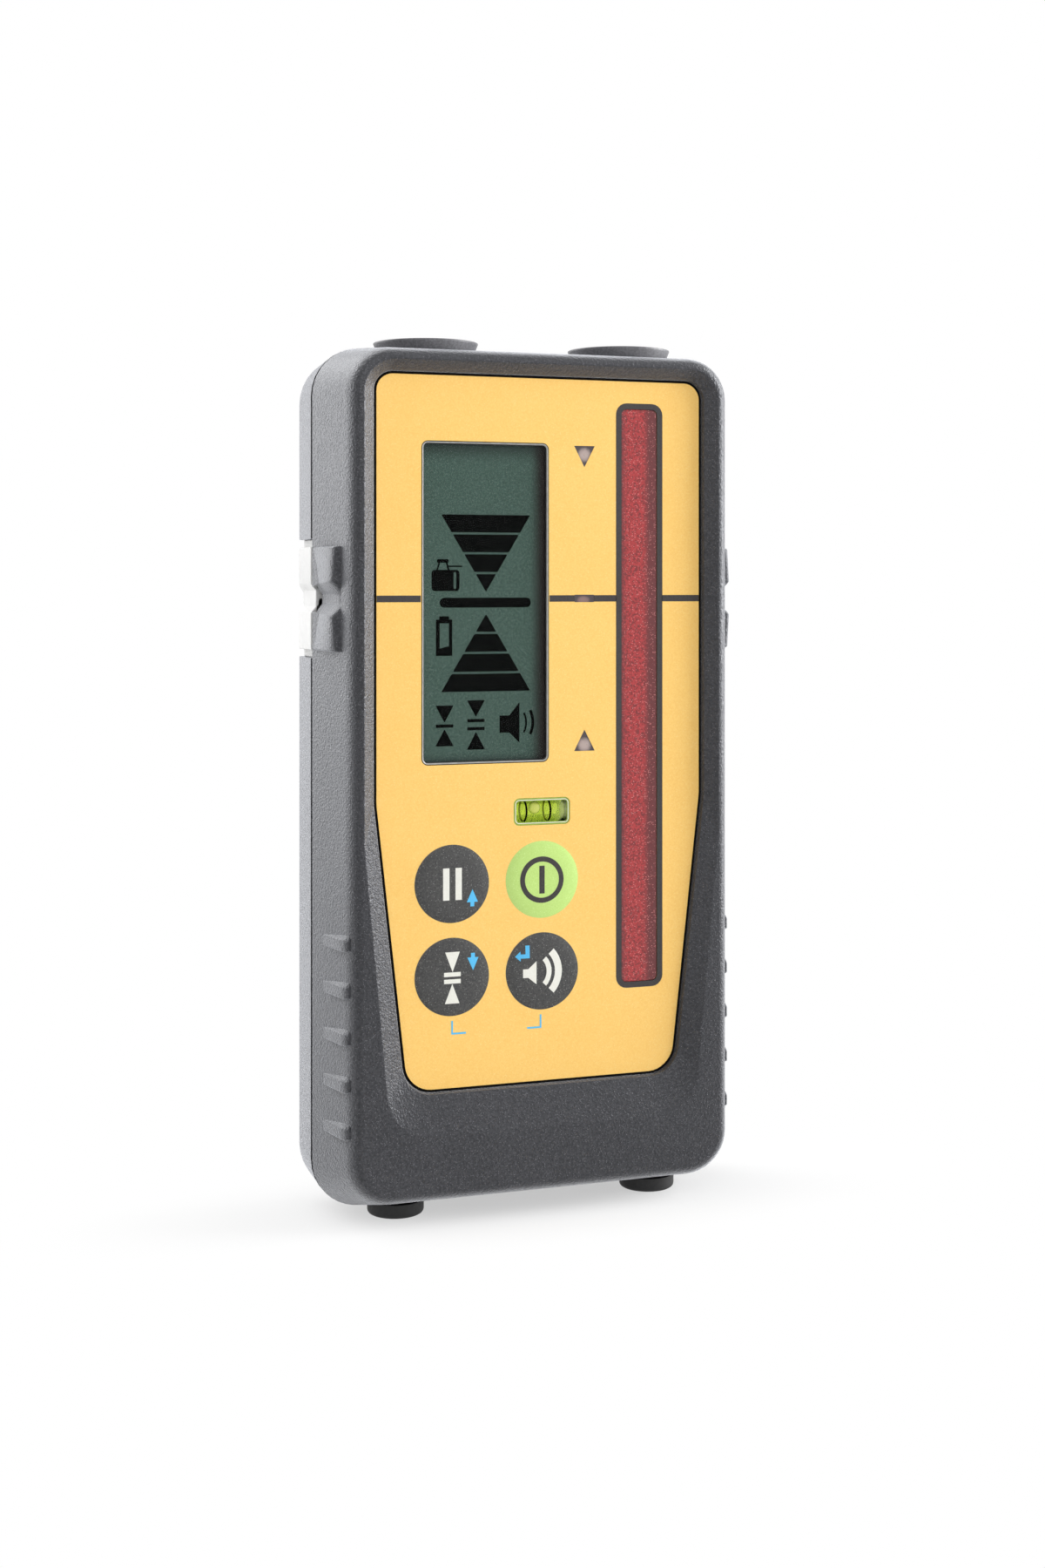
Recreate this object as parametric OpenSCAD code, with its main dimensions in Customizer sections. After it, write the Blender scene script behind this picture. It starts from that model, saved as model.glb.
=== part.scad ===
// Handheld laser receiver for a levelling rod, millimetres, +Z up.
// The front panel faces -Y, and the origin lies on the floor under the middle of the case.

/* [Case] */
// Margin from the panel's side to the case's side at the parting line
panel_margin = 8.15; // [7.8:0.05:9]
// Depth of the front shell, rim to parting line
front_depth = 15; // [14.6:0.1:15.6]
// How far the rim is narrower than the parting line, each side
side_taper = 3.2; // [2.4:0.1:3.6]
// How far the rim is lower than the parting line at the top
top_taper = 1; // [0.4:0.1:2]
// How far the rim is higher than the parting line at the bottom
bottom_taper = 3.3; // [2:0.1:4]
// Corner radius of the case at the parting line
corner_r = 8.6; // [7.8:0.1:10]
// Corner radius of the front rim
rim_r = 7.4; // [6:0.1:8]
// Rounding of the front edge
edge_r = 1.5; // [0.8:0.1:2]
// Rounding of the rear edge
rear_edge_r = 2.6; // [1.5:0.1:3]
// How far the rear edge is smaller than the parting line at top and bottom
rear_taper = 0.8; // [0.2:0.1:1.2]
// Wall of both shells
wall = 2; // [1.6:0.1:2.4]
// Width of the seam between the shells
seam = 0.4; // [0.3:0.05:0.6]
// How far the seal lies below the outside of the case
seal_inset = 0.35; // [0.2:0.05:0.6]
// Width of the seal's face
seal_w = 1.6; // [1.4:0.1:1.8]

/* [Panel] */
// How far the panel is narrower at its foot, each side
panel_taper = 5.55; // [4.5:0.05:6.5]
// Height of the panel's tapered lower part
panel_taper_h = 49; // [44:0.5:52]
// Margin from the case's top to the panel
panel_top_gap = 5.4; // [5:0.1:6]
// Margin from the case's bottom to the panel
panel_foot_gap = 22; // [21:0.1:23]
// Corner radius at the top of the panel
panel_r = 2.9; // [2:0.1:4]
// Corner radius at the foot of the panel
panel_foot_r = 4.7; // [4:0.1:6]
// Depth of the panel below the rim
recess = 2.4; // [2:0.1:2.8]
// Thickness of the film
film_t = 0.5; // [0.4:0.05:0.6]
// Gap round the film
film_gap = 0.45; // [0.3:0.05:0.6]
// Wall that carries the film
carrier_t = 1.6; // [1.4:0.05:1.8]
// Width of the bevel beside the panel
bevel_w = 2.3; // [1.8:0.1:2.6]
// Height of the bevel above the panel
bevel_top = 1.9; // [1.5:0.1:2.4]
// Height of the bevel below the panel
bevel_foot = 7; // [6:0.1:8]
// Extra width of the bevel at the foot, each side
bevel_foot_w = 0.9; // [0.5:0.1:2]

/* [Display and windows] */
// Margin from the panel's left edge to the display window
display_side_gap = 8.15; // [7.6:0.05:9]
// Margin from the panel's top to the display window
display_top_gap = 11.4; // [9:0.1:14]
// Distance from the vial's middle up to the display window
display_rise = 8.5; // [8:0.1:11]
// On-grade line above the middle of the display window
grade_rise = 0.7; // [0:0.1:1.5]
// Width of the display window
display_w = 22.9; // [20:0.1:23.5]
// Height of the display window
display_h = 55.2; // [50:0.1:56]
// Distance between the display window and the red window
lamp_lane = 13.85; // [12.5:0.05:16]
// Width of the red window
red_w = 6.9; // [6:0.1:7.4]
// Margin from the panel's right edge to the red window
red_side_gap = 8.1; // [7.4:0.05:10]
// Margin from the panel's top to the red window
red_top_gap = 4.85; // [4:0.05:8]
// Margin from the panel's foot to the red window
red_foot_gap = 16.05; // [14:0.05:20]
// Corner radius of the windows
window_r = 1; // [0.6:0.1:1.2]
// Flange of the lenses behind the carrier wall
lens_flange = 0.9; // [0.6:0.1:1]
// Thickness of the lens flanges
lens_flange_t = 0.8; // [0.6:0.05:0.85]
// How far the lenses lie below the film's face
lens_sink = 0.15; // [0.05:0.05:0.3]
// Gap round a piece that is seated in another
seat_gap = 0.05; // [0.03:0.01:0.08]
// Side of the triangular lamp lenses
lamp_w = 3.7; // [3:0.1:4]
// Height of the triangular lamp lenses
lamp_h = 3.6; // [3:0.1:4]
// Lamp lenses from the display window's side
lamp_gap = 6.85; // [6:0.05:7.5]
// Lamp lenses in from the display window's ends
lamp_inset = 2.7; // [1:0.1:5]
// Height of the on-grade lamp lens
grade_lamp_h = 1.2; // [1:0.1:2]

/* [Vial] */
// Length of the vial window
vial_l = 10.4; // [9.6:0.1:11]
// Diameter of the vial
vial_d = 4.1; // [3.8:0.1:4.1]
// Wall of the vial
vial_wall = 0.6; // [0.5:0.05:0.7]
// Distance from the upper keys up to the vial
vial_rise = 12.1; // [11:0.1:14]
// Length of the bubble
bubble_l = 2.8; // [2.2:0.1:3.2]
// Diameter of the bubble
bubble_d = 1.9; // [1.5:0.1:2]
// Place of the bubble from the middle of the vial
bubble_x = -0.8; // [-1:0.1:1]

/* [Keys] */
// Diameter of a key
key_d = 13.3; // [12:0.1:13.6]
// Distance between the key columns
key_pitch_x = 16.5; // [15.5:0.1:17]
// Distance between the key rows
key_pitch_z = 15.95; // [15.4:0.05:17]
// Left keys from the display window's side
key_inset = 5.3; // [5:0.1:6.5]
// Distance from the panel's foot up to the lower keys
key_foot_gap = 19.05; // [17:0.05:24]
// How far a key stands above the film
key_rise = 0.4; // [0.2:0.05:0.6]
// Travel of a key
key_travel = 0.5; // [0.3:0.05:0.55]
// Gap round a key
key_gap = 0.15; // [0.1:0.01:0.2]
// Thickness of a key below the film's face
key_t = 1; // [0.8:0.05:1.05]
// Diameter of a key's plunger
plunger_d = 4; // [3:0.1:5]
// Gap round the plunger
plunger_gap = 0.3; // [0.2:0.05:0.4]

/* [Side wings and ribs] */
// Height of a side wing
wing_h = 17.9; // [16:0.1:19]
// How far a wing's ends stand out from the rim's side, at its front
wing_out = 2.35; // [2.2:0.05:2.6]
// How much further a wing stands out beside its notch, at its front
wing_slope = 0.4; // [0.1:0.05:0.5]
// How far a wing dips beside its notch, at the parting line
wing_dip = 0.85; // [0.5:0.05:1]
// Front end of a wing behind the rim
wing_front = 4.4; // [4:0.1:5]
// Width of the notch outside, at a wing's front
notch_w = 5.9; // [5:0.1:6.8]
// Width of the notch's floor, at a wing's front
notch_floor = 1.8; // [1:0.1:2.2]
// Depth of the notch, at a wing's front
notch_depth = 1.95; // [1.5:0.05:2.3]
// Width of the notch outside, at the parting line
seam_notch_w = 4.4; // [3.6:0.1:5.1]
// Width of the notch's floor, at the parting line
seam_notch_floor = 1; // [0.6:0.1:1.2]
// Depth of the notch, at the parting line
seam_notch_depth = 1.05; // [0.8:0.05:1.2]
// Width of a white insert's notch outside
insert_notch_w = 5.1; // [4:0.1:5.9]
// Width of the floor of a white insert's notch
insert_notch_floor = 2; // [1:0.1:2.4]
// Depth of a white insert's notch
insert_notch_depth = 1.2; // [0.8:0.05:1.4]
// Height of the slot for a white insert
insert_slot_h = 20.7; // [20.1:0.1:24]
// Distance from the back face to the end of a white insert
insert_sink = 0.2; // [0.1:0.1:0.4]
// How far an insert's end tabs lie below its face
insert_step = 0.9; // [0.5:0.1:1.2]
// Thickness of a white insert
insert_t = 3.4; // [3:0.1:3.6]
// Number of grip ribs on each side
rib_count = 5; // [3:1:5]
// Distance between ribs
rib_pitch = 7.94; // [7:0.01:8.2]
// Height of the lowest rib's middle above the case's bottom
rib_first = 16; // [15:0.1:17]
// Height of a rib at its base
rib_h = 3.2; // [2.4:0.1:4]
// Slope of a rib's flanks, as a height
rib_flank = 0.65; // [0.4:0.05:0.8]
// How far a rib stands out at the front
rib_out = 0.7; // [0.4:0.05:0.9]
// Length of a rib
rib_l = 9.5; // [7:0.1:10]
// Angle between a rib's face and the depth of the case, degrees
rib_angle = 9; // [7:0.5:11]

/* [Pads and feet] */
// Diameter of a top pad
pad_d = 18.4; // [16:0.1:19]
// Diameter of a top pad's foot
pad_foot_d = 16.4; // [12:0.1:17]
// Thickness of a top pad
pad_t = 0.9; // [0.7:0.05:1.2]
// Place of a top pad from the case's side
pad_side = 19.8; // [18:0.1:22]
// Pads and feet in front of the parting line
stand_gap = 3.2; // [3:0.1:3.4]
// Diameter of a pad's stem
pad_stem_d = 4.4; // [3:0.1:4.6]
// Length of a pad's stem
pad_stem_l = 4; // [3:0.1:4.5]
// Place of a foot from the case's side
foot_side = 14.3; // [13.6:0.1:15.5]
// Diameter of a foot
foot_d = 9.9; // [9:0.1:10.4]
// How far the feet reach below the case
foot_drop = 1.1; // [0.8:0.05:1.6]
// Height of a foot's seat inside the case's bottom
foot_seat = 1.4; // [1:0.1:1.6]
// Rounding of a foot's lower rim
foot_round = 0.7; // [0.4:0.05:0.75]

/* [Electronics] */
// Thickness of the boards
board_t = 1.2; // [1:0.05:1.3]
// Space between the carrier wall and the boards
board_space = 2.2; // [2.1:0.05:2.25]
// Distance from the case's side to the main board
board_side_gap = 11.3; // [11.2:0.1:11.6]
// Gap between the two boards
board_split = 1.2; // [0.8:0.1:1.6]
// Margin of the main board below the lower keys
board_foot = 9; // [8:0.1:10]
// Margin of the main board above the display
board_head = 6; // [5.6:0.1:6.2]
// Width of the sensor board
sensor_w = 11.4; // [10.6:0.1:11.6]
// Width of the plug between the boards
link_w = 6; // [4:0.1:8]
// Height of the plug between the boards
link_h = 12; // [8:0.1:16]
// Thickness of the plug between the boards
link_t = 2.4; // [2:0.1:3]
// Number of photodiodes
diode_count = 13; // [9:1:14]
// Side of a photodiode
diode_w = 2.8; // [2:0.1:3.2]
// Thickness of photodiodes and lamps
chip_t = 1; // [0.6:0.05:1.1]
// Diameter of the snap domes
dome_d = 8; // [6:0.1:9]
// Height of the snap domes
dome_h = 0.45; // [0.3:0.05:0.5]
// Diameter of the sounder
buzzer_d = 12; // [10:0.1:13]
// Height of the sounder
buzzer_h = 4.5; // [3:0.1:5]
// Sounder in from the main board's edge
buzzer_in = 7.8; // [7.4:0.1:9]
// Sounder above the on-grade line
buzzer_rise = 14; // [12:0.1:16]

/* [Battery bay] */
// Diameter of a cell
cell_d = 14.3; // [14:0.05:14.5]
// Length of a cell over its terminal
cell_l = 50.2; // [49.5:0.1:50.5]
// Length of a cell's terminal
cell_tip = 1.4; // [1:0.1:1.6]
// Diameter of a cell's terminal
cell_tip_d = 5.2; // [4.5:0.1:5.5]
// Diameter of a contact spring at its foot
spring_d = 8.6; // [7:0.1:10]
// Width of a contact plate
contact_w = 10; // [8:0.1:11]
// Gap round the cells
cell_gap = 0.25; // [0.2:0.05:0.3]
// Wall of the bay
bay_wall = 1; // [0.9:0.05:1.1]
// Gap between the bay and the main board
bay_clear = 0.45; // [0.3:0.05:1]
// Height of the bay's floor above the case's bottom
bay_rise = 13.4; // [13:0.1:13.8]
// Length of a contact spring in place
spring_l = 2.4; // [2:0.1:3]
// Thickness of the contact plates
contact_t = 0.5; // [0.4:0.05:0.6]
// Thickness of the battery door
door_t = 1.8; // [1.6:0.05:1.9]
// Margin of the door beside the bay
door_margin = 4.325; // [4:0.025:5]
// Margin of the door above the bay
door_head = 10.25; // [10:0.05:12]
// Gap round the battery door
door_gap = 0.3; // [0.25:0.05:0.4]
// Ledge that the door lies on
ledge_t = 1.6; // [1.4:0.1:1.8]
// Height of the hinge pin above the case's bottom
pin_rise = 8; // [7.6:0.1:8.2]
// Diameter of the hinge pin
pin_d = 1.8; // [1.6:0.05:2]
// Running clearance of the pin in the door
pin_gap = 0.05; // [0.03:0.01:0.08]
// Distance from the middle to a door knuckle
knuckle_x = 8; // [7.6:0.1:8.6]
// Length of the case's end knuckles
end_knuckle = 3; // [2:0.1:4]
// Screw below the door's top edge
screw_drop = 5; // [4.8:0.1:5.2]
// Diameter of the door screw's head
screw_head_d = 7.6; // [7:0.1:8]
// Thickness of the door screw's head
screw_head_t = 1; // [0.8:0.05:1.1]
// Diameter of the door screw
screw_d = 3; // [2.5:0.1:3.2]
// Length of the door screw below its head
screw_l = 6; // [5:0.1:6.4]
// Width of the coin slot
slot_w = 1.6; // [1.2:0.1:2]
// Depth of the coin slot
slot_depth = 0.6; // [0.4:0.05:0.65]
// Room round the screw in the case
screw_room = 0.9; // [0.8:0.05:1.1]
// Width of the door seal
door_seal_w = 1; // [0.8:0.05:1.1]
// Height of the door seal
door_seal_h = 0.5; // [0.4:0.05:0.55]

/* [Clamp mount and fasteners] */
// Clamp thread's core diameter
clamp_d = 5; // [4:0.1:6]
// Length of the clamp insert
clamp_l = 8; // [6:0.1:8.5]
// Outer diameter of the clamp insert
clamp_insert_d = 8; // [7.4:0.1:9]
// Boss round the clamp insert
clamp_boss_d = 13; // [12:0.1:14]
// Clamp thread above the battery door
clamp_rise = 13.9; // [12:0.1:15]
// Distance between the two locating holes
locator_pitch = 26; // [25:0.1:28]
// Diameter of a locating hole
locator_d = 4; // [3:0.1:4.4]
// Depth of a locating hole
locator_depth = 4; // [3:0.1:5]
// Case screws from the case's side
case_screw_side = 7.9; // [7.7:0.1:8.2]
// Case screws from the case's top and bottom
case_screw_in = 9; // [8.6:0.1:9.4]
// Diameter of a case screw
case_screw_d = 2.5; // [2:0.1:2.8]
// Diameter of a case screw's head
case_head_d = 5; // [4.6:0.1:5.2]
// Thickness of a case screw's head
case_head_t = 2; // [1.6:0.1:2.2]
// Boss round a case screw
case_boss_d = 7; // [6.6:0.1:7.4]
// Floor under a case screw's head
case_floor = 2; // [1.6:0.1:2.4]
// Diameter of a board screw
board_screw_d = 1.8; // [1.6:0.1:2]
// Diameter of a board screw's head
board_head_d = 3.2; // [3:0.1:3.3]
// Thickness of a board screw's head
board_head_t = 1; // [0.8:0.1:1.2]
// Board screws in from the board's edges
board_screw_in = 2.4; // [2.3:0.1:2.5]
// Lower board screws above the bay
board_screw_rise = 7.3; // [6.8:0.1:7.4]

/* [Hidden] */
$fn = 48;
// Thickness of the sheets that a lofted shape is drawn through
sheet = 0.02;
// Overshoot of a cut beyond the face that it opens
over = 1;
// Steps of a rounded corner
corner_steps = 8;

// Widths
panel_w = display_side_gap + display_w + lamp_lane + red_w + red_side_gap;
panel_foot_w = panel_w - 2 * panel_taper;
case_w = panel_w + 2 * panel_margin;
display_x = display_side_gap + (display_w - panel_w) / 2;
display_left = display_x - display_w / 2;
red_x = (panel_w - red_w) / 2 - red_side_gap;
lamp_x = display_left + display_w + lamp_gap;
key_x = display_left + key_inset;
vial_x = key_x + key_pitch_x;
pad_x = case_w / 2 - pad_side;
foot_x = case_w / 2 - foot_side;
case_screw_x = case_w / 2 - case_screw_side;
board_left = board_side_gap - case_w / 2;
board_right = red_x - sensor_w / 2 - board_split;
buzzer_x = board_left + buzzer_in;

// Heights
case_z0 = foot_drop;
panel_z0 = case_z0 + panel_foot_gap;
key_z = panel_z0 + key_foot_gap + key_pitch_z;
vial_z = key_z + vial_rise;
display_z = vial_z + display_rise + display_h / 2;
grade_z = display_z + grade_rise;
panel_z1 = display_z + display_h / 2 + display_top_gap;
case_z1 = panel_z1 + panel_top_gap;
case_h = case_z1 - case_z0;
red_h = panel_z1 - panel_z0 - red_top_gap - red_foot_gap;
red_z = panel_z0 + red_foot_gap + red_h / 2;
lamp_rise = display_h / 2 - lamp_inset;
buzzer_z = grade_z + buzzer_rise;

// Depths
case_d = recess + film_t + carrier_t + board_space + board_t + bay_clear + bay_wall + 2 * cell_gap
    + cell_d + seat_gap + door_t;
rim_y = -case_d / 2;
back_y = case_d / 2;
part_y = rim_y + front_depth;
front_end = part_y - seam / 2;
rear_end = part_y + seam / 2;
stand_y = part_y - stand_gap;
film_y = rim_y + recess;
carrier_y = film_y + film_t;
cave_y = carrier_y + carrier_t;
board_y = cave_y + board_space;
board_back = board_y + board_t;
key_floor_y = film_y + key_t + key_travel + key_gap / 2;
dome_y = board_y - dome_h;
ledge_y = back_y - door_t - seat_gap;
pin_y = back_y - door_t;

// Battery bay and its door
bay_w = 2 * cell_d + 3 * cell_gap;
bay_z0 = case_z0 + bay_rise;
bay_l = spring_l + cell_l + contact_t + cell_gap;
bay_z1 = bay_z0 + bay_l;
cell_y = ledge_y - cell_gap - cell_d / 2;
bay_y = cell_y - cell_d / 2 - cell_gap;
cell_x = (cell_d + cell_gap) / 2;
pin_z = case_z0 + pin_rise;
door_w = bay_w + 2 * door_margin;
door_z1 = bay_z1 + door_head;
knuckle_l = door_w / 2 - knuckle_x - end_knuckle;
screw_z = door_z1 - screw_drop;
clamp_z = door_z1 + clamp_rise;

// Board outline
board_z0 = key_z - key_pitch_z - board_foot;
board_z1 = display_z + display_h / 2 + board_head;
sensor_z0 = red_z - red_h / 2 - lens_flange;
sensor_z1 = red_z + red_h / 2 + lens_flange;

// Outer front corner of a wing
wing_y = rim_y + wing_front;
wing_x = side_x(rim_y + edge_r) + wing_out;

// Vial
vial_y = film_y + lens_sink + vial_d / 2;
vial_room = vial_l - 2 * vial_wall;

// Case screw heights
case_screw_zs = [case_z0 + case_screw_in, case_z1 - case_screw_in];

// Arc that rounds the corner p between its neighbours a and b
function corner(p, a, b, r) =
    let (u = (a - p) / norm(a - p),
         v = (b - p) / norm(b - p),
         half = acos(u * v) / 2,
         c = p + (u + v) / norm(u + v) * r / sin(half),
         s = p + u * r / tan(half) - c,
         e = p + v * r / tan(half) - c,
         a0 = atan2(s.y, s.x),
         turn = (atan2(e.y, e.x) - a0 + 540) % 360 - 180)
    [for (i = [0:corner_steps])
        c + r * [cos(a0 + turn * i / corner_steps), sin(a0 + turn * i / corner_steps)]];

// Closed outline with every corner rounded to its own radius
function rounded(pts, rs) =
    let (n = len(pts))
    [for (i = [0:n - 1]) each corner(pts[i], pts[(i + n - 1) % n], pts[(i + 1) % n], rs[i])];

// Rectangle about a middle, with rounded corners
function window(x, z, w, h, r) =
    rounded([[x - w / 2, z - h / 2], [x + w / 2, z - h / 2], [x + w / 2, z + h / 2], [x - w / 2, z + h / 2]],
            [r, r, r, r]);

// Outline of the case: share 0 at the front edge, 1 at the parting line, drawn in by inset
function case_outline(share, inset) =
    let (hw = case_w / 2 - side_taper * (1 - share) - inset,
         z0 = case_z0 + bottom_taper * (1 - share) + inset,
         z1 = case_z1 - top_taper * (1 - share) - inset,
         r = rim_r + (corner_r - rim_r) * share - inset)
    rounded([[-hw, z0], [hw, z0], [hw, z1], [-hw, z1]], [r, r, r, r]);

// Outline of the rear edge, drawn in by inset
function rear_outline(inset) =
    let (hw = case_w / 2 - inset,
         z0 = case_z0 + rear_taper + inset,
         z1 = case_z1 - rear_taper - inset,
         r = corner_r - inset)
    rounded([[-hw, z0], [hw, z0], [hw, z1], [-hw, z1]], [r, r, r, r]);

// Share of the way from the front edge to the parting line at a depth
function depth_share(y) = (y - rim_y - edge_r) / (front_depth - edge_r);

// Half width of the case's side at a depth of the front shell
function side_x(y) = case_w / 2 - side_taper * (1 - depth_share(y));

// Outline of the film panel, grown by grow
function panel_outline(grow) =
    let (hw = panel_w / 2 + grow,
         fw = panel_foot_w / 2 + grow,
         bend = panel_z0 + panel_taper_h,
         z0 = panel_z0 - grow,
         z1 = panel_z1 + grow)
    rounded([[-fw, z0], [fw, z0], [hw, bend], [hw, z1], [-hw, z1], [-hw, bend]],
            [panel_foot_r + grow, panel_foot_r + grow, panel_foot_r * 2,
             panel_r + grow, panel_r + grow, panel_foot_r * 2]);

// Outline of the bevel at the rim
function bevel_outline() =
    let (hw = panel_w / 2 + film_gap + bevel_w,
         fw = panel_foot_w / 2 + film_gap + bevel_w + bevel_foot_w,
         bend = panel_z0 + panel_taper_h - bevel_foot,
         z0 = panel_z0 - film_gap - bevel_foot,
         z1 = panel_z1 + film_gap + bevel_top)
    rounded([[-fw, z0], [fw, z0], [hw, bend], [hw, z1], [-hw, z1], [-hw, bend]],
            [panel_foot_r + bevel_w + bevel_foot_w, panel_foot_r + bevel_w + bevel_foot_w, panel_foot_r * 2,
             panel_r + film_gap + bevel_w, panel_r + film_gap + bevel_w, panel_foot_r * 2]);

// Triangular lamp window at a height, pointing down for side -1 and up for side 1
function lamp_outline(z, side, grow) =
    [[lamp_x - lamp_w / 2 - grow * 2, z - side * (lamp_h / 2 + grow)],
     [lamp_x + lamp_w / 2 + grow * 2, z - side * (lamp_h / 2 + grow)],
     [lamp_x, z + side * (lamp_h / 2 + grow * 2)]];

// Front view of the part of a wing above its notch, with heights from the middle of the notch
function wing_half(in_x, end_x, shoulder_x, floor_x, shoulder_w, floor_w) =
    [[in_x, floor_w / 2], [floor_x, floor_w / 2], [shoulder_x, shoulder_w / 2],
     [end_x, wing_h / 2], [in_x, wing_h / 2]];

// Front view of the bed that joins the two parts of a wing under its notch
function notch_bed(in_x, floor_x, w) = [[in_x, -w / 2], [floor_x, -w / 2], [floor_x, w / 2], [in_x, w / 2]];

// Front view of a white insert on the right side: a bar with a notch
function insert_outline(in_x, out_x) =
    [[in_x, grade_z - wing_h / 2],
     [out_x, grade_z - wing_h / 2],
     [out_x, grade_z - insert_notch_w / 2],
     [out_x - insert_notch_depth, grade_z - insert_notch_floor / 2],
     [out_x - insert_notch_depth, grade_z + insert_notch_floor / 2],
     [out_x, grade_z + insert_notch_w / 2],
     [out_x, grade_z + wing_h / 2],
     [in_x, grade_z + wing_h / 2]];

// Plan of an insert on the right side, rounded at the back like the shell beside it and set in by inset
function insert_plan(in_x, front, inset) =
    let (x = case_w / 2 - rear_edge_r, y = back_y - insert_sink - rear_edge_r, r = rear_edge_r - inset)
    concat([[in_x, front], [x + r, front]],
           [for (a = [0:15:90]) [x + r * cos(a), y + r * sin(a)]],
           [[in_x, y + r]]);

// Solid from a front view outline, t deep from the depth y backwards
module plate(pts, y, t) {
    translate([0, y + t, 0]) rotate([90, 0, 0]) linear_extrude(t) polygon(pts);
}

// Solid between two front view outlines with as many points, at the depths y0 and y1
module bridge(pts0, y0, pts1, y1) {
    n = len(pts0);
    polyhedron(
        points = concat([for (p = pts0) [p[0], y0, p[1]]], [for (p = pts1) [p[0], y1, p[1]]]),
        faces = concat([[for (i = [n - 1:-1:0]) i]], [[for (i = [0:n - 1]) n + i]],
                       [for (i = [0:n - 1]) [i, (i + 1) % n, n + (i + 1) % n]],
                       [for (i = [0:n - 1]) [i, n + (i + 1) % n, n + i]]));
}

// Round bar along the depth, from y backwards
module rod(x, z, y, t, d) {
    translate([x, y, z]) rotate([-90, 0, 0]) cylinder(d = d, h = t);
}

// Round bar along the width, from x to the right
module bar(x, y, z, l, d) {
    translate([x, y, z]) rotate([0, 90, 0]) cylinder(d = d, h = l);
}

// Box between two corners
module block(low, high) {
    translate(low) cube(high - low);
}

// Children once on each side of the case
module both_sides() {
    children();
    mirror([1, 0, 0]) children();
}

// Children at each case screw
module at_case_screws() {
    for (side = [-1, 1], z = case_screw_zs) translate([side * case_screw_x, 0, z]) children();
}

// Children at each board screw
module at_board_screws() {
    for (x = [board_left + board_screw_in, board_right - board_screw_in],
         z = [bay_z1 + bay_wall + board_screw_rise, board_z1 - board_screw_in])
        translate([x, 0, z]) children();
}

// Children at each key, upper left, upper right, lower left, lower right
module at_key(column, row) {
    translate([key_x + column * key_pitch_x, 0, key_z - row * key_pitch_z]) children();
}

// Children at every key
module at_keys() {
    for (column = [0, 1], row = [0, 1]) at_key(column, row) children();
}

// Outside of the front shell, a tapered block with a rounded front edge
module front_block() {
    hull() {
        for (a = [0:30:90])
            plate(case_outline(0, edge_r * (1 - sin(a))), rim_y + edge_r * (1 - cos(a)), sheet);
        plate(case_outline(1, 0), front_end - sheet, sheet);
    }
}

// Hollow inside the front shell
module front_hollow() {
    hull() {
        plate(case_outline(depth_share(cave_y), wall), cave_y, sheet);
        plate(case_outline(1, wall), front_end, over);
    }
}

// Bevelled recess and the film's seat
module panel_recess() {
    hull() {
        plate(bevel_outline(), rim_y - sheet, sheet);
        plate(panel_outline(film_gap), film_y, sheet);
    }
    plate(panel_outline(film_gap), film_y, film_t);
}

// Openings through the film and its carrier, from the depth y backwards, grown by grow
module window_cuts(y, t, grow) {
    plate(window(display_x, display_z, display_w + 2 * grow, display_h + 2 * grow, window_r), y, t);
    plate(window(red_x, red_z, red_w + 2 * grow, red_h + 2 * grow, window_r), y, t);
    plate(window(vial_x, vial_z, vial_l + 2 * grow, vial_d + 2 * grow, window_r), y, t);
    plate(lamp_outline(grade_z + lamp_rise, -1, grow), y, t);
    plate(lamp_outline(grade_z - lamp_rise, 1, grow), y, t);
    plate(window(lamp_x, grade_z, lamp_w + 2 * grow, grade_lamp_h + 2 * grow, grade_lamp_h / 4), y, t);
}

// Grip ribs of the right side
module ribs() {
    start_y = rim_y + edge_r / 2;
    face_x = side_x(start_y) + rib_out;
    for (i = [0:rib_count - 1])
        translate([face_x, start_y, case_z0 + rib_first + i * rib_pitch])
            rotate([0, 0, -rib_angle])
                plate([[-rib_out - wall, -rib_h / 2], [-rib_out, -rib_h / 2], [0, rib_flank - rib_h / 2],
                       [0, rib_h / 2 - rib_flank], [-rib_out, rib_h / 2], [-rib_out - wall, rib_h / 2]],
                      0, rib_l);
}

// Notched wing on the right side of the front shell, flush with the case's side at the parting line
module wing() {
    in_x = wing_x - wing_out - wall / 2;
    floor_x = wing_x + wing_slope - notch_depth;
    seam_x = case_w / 2 - wing_dip;
    seam_floor_x = seam_x - seam_notch_depth;
    translate([0, 0, grade_z]) {
        for (side = [0, 1]) mirror([0, 0, side])
            bridge(wing_half(in_x, wing_x, wing_x + wing_slope, floor_x, notch_w, notch_floor), wing_y,
                   wing_half(in_x, case_w / 2, seam_x, seam_floor_x, seam_notch_w, seam_notch_floor), front_end);
        bridge(notch_bed(in_x, floor_x, notch_w), wing_y,
               notch_bed(in_x, seam_floor_x, seam_notch_w), front_end);
    }
}

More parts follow.
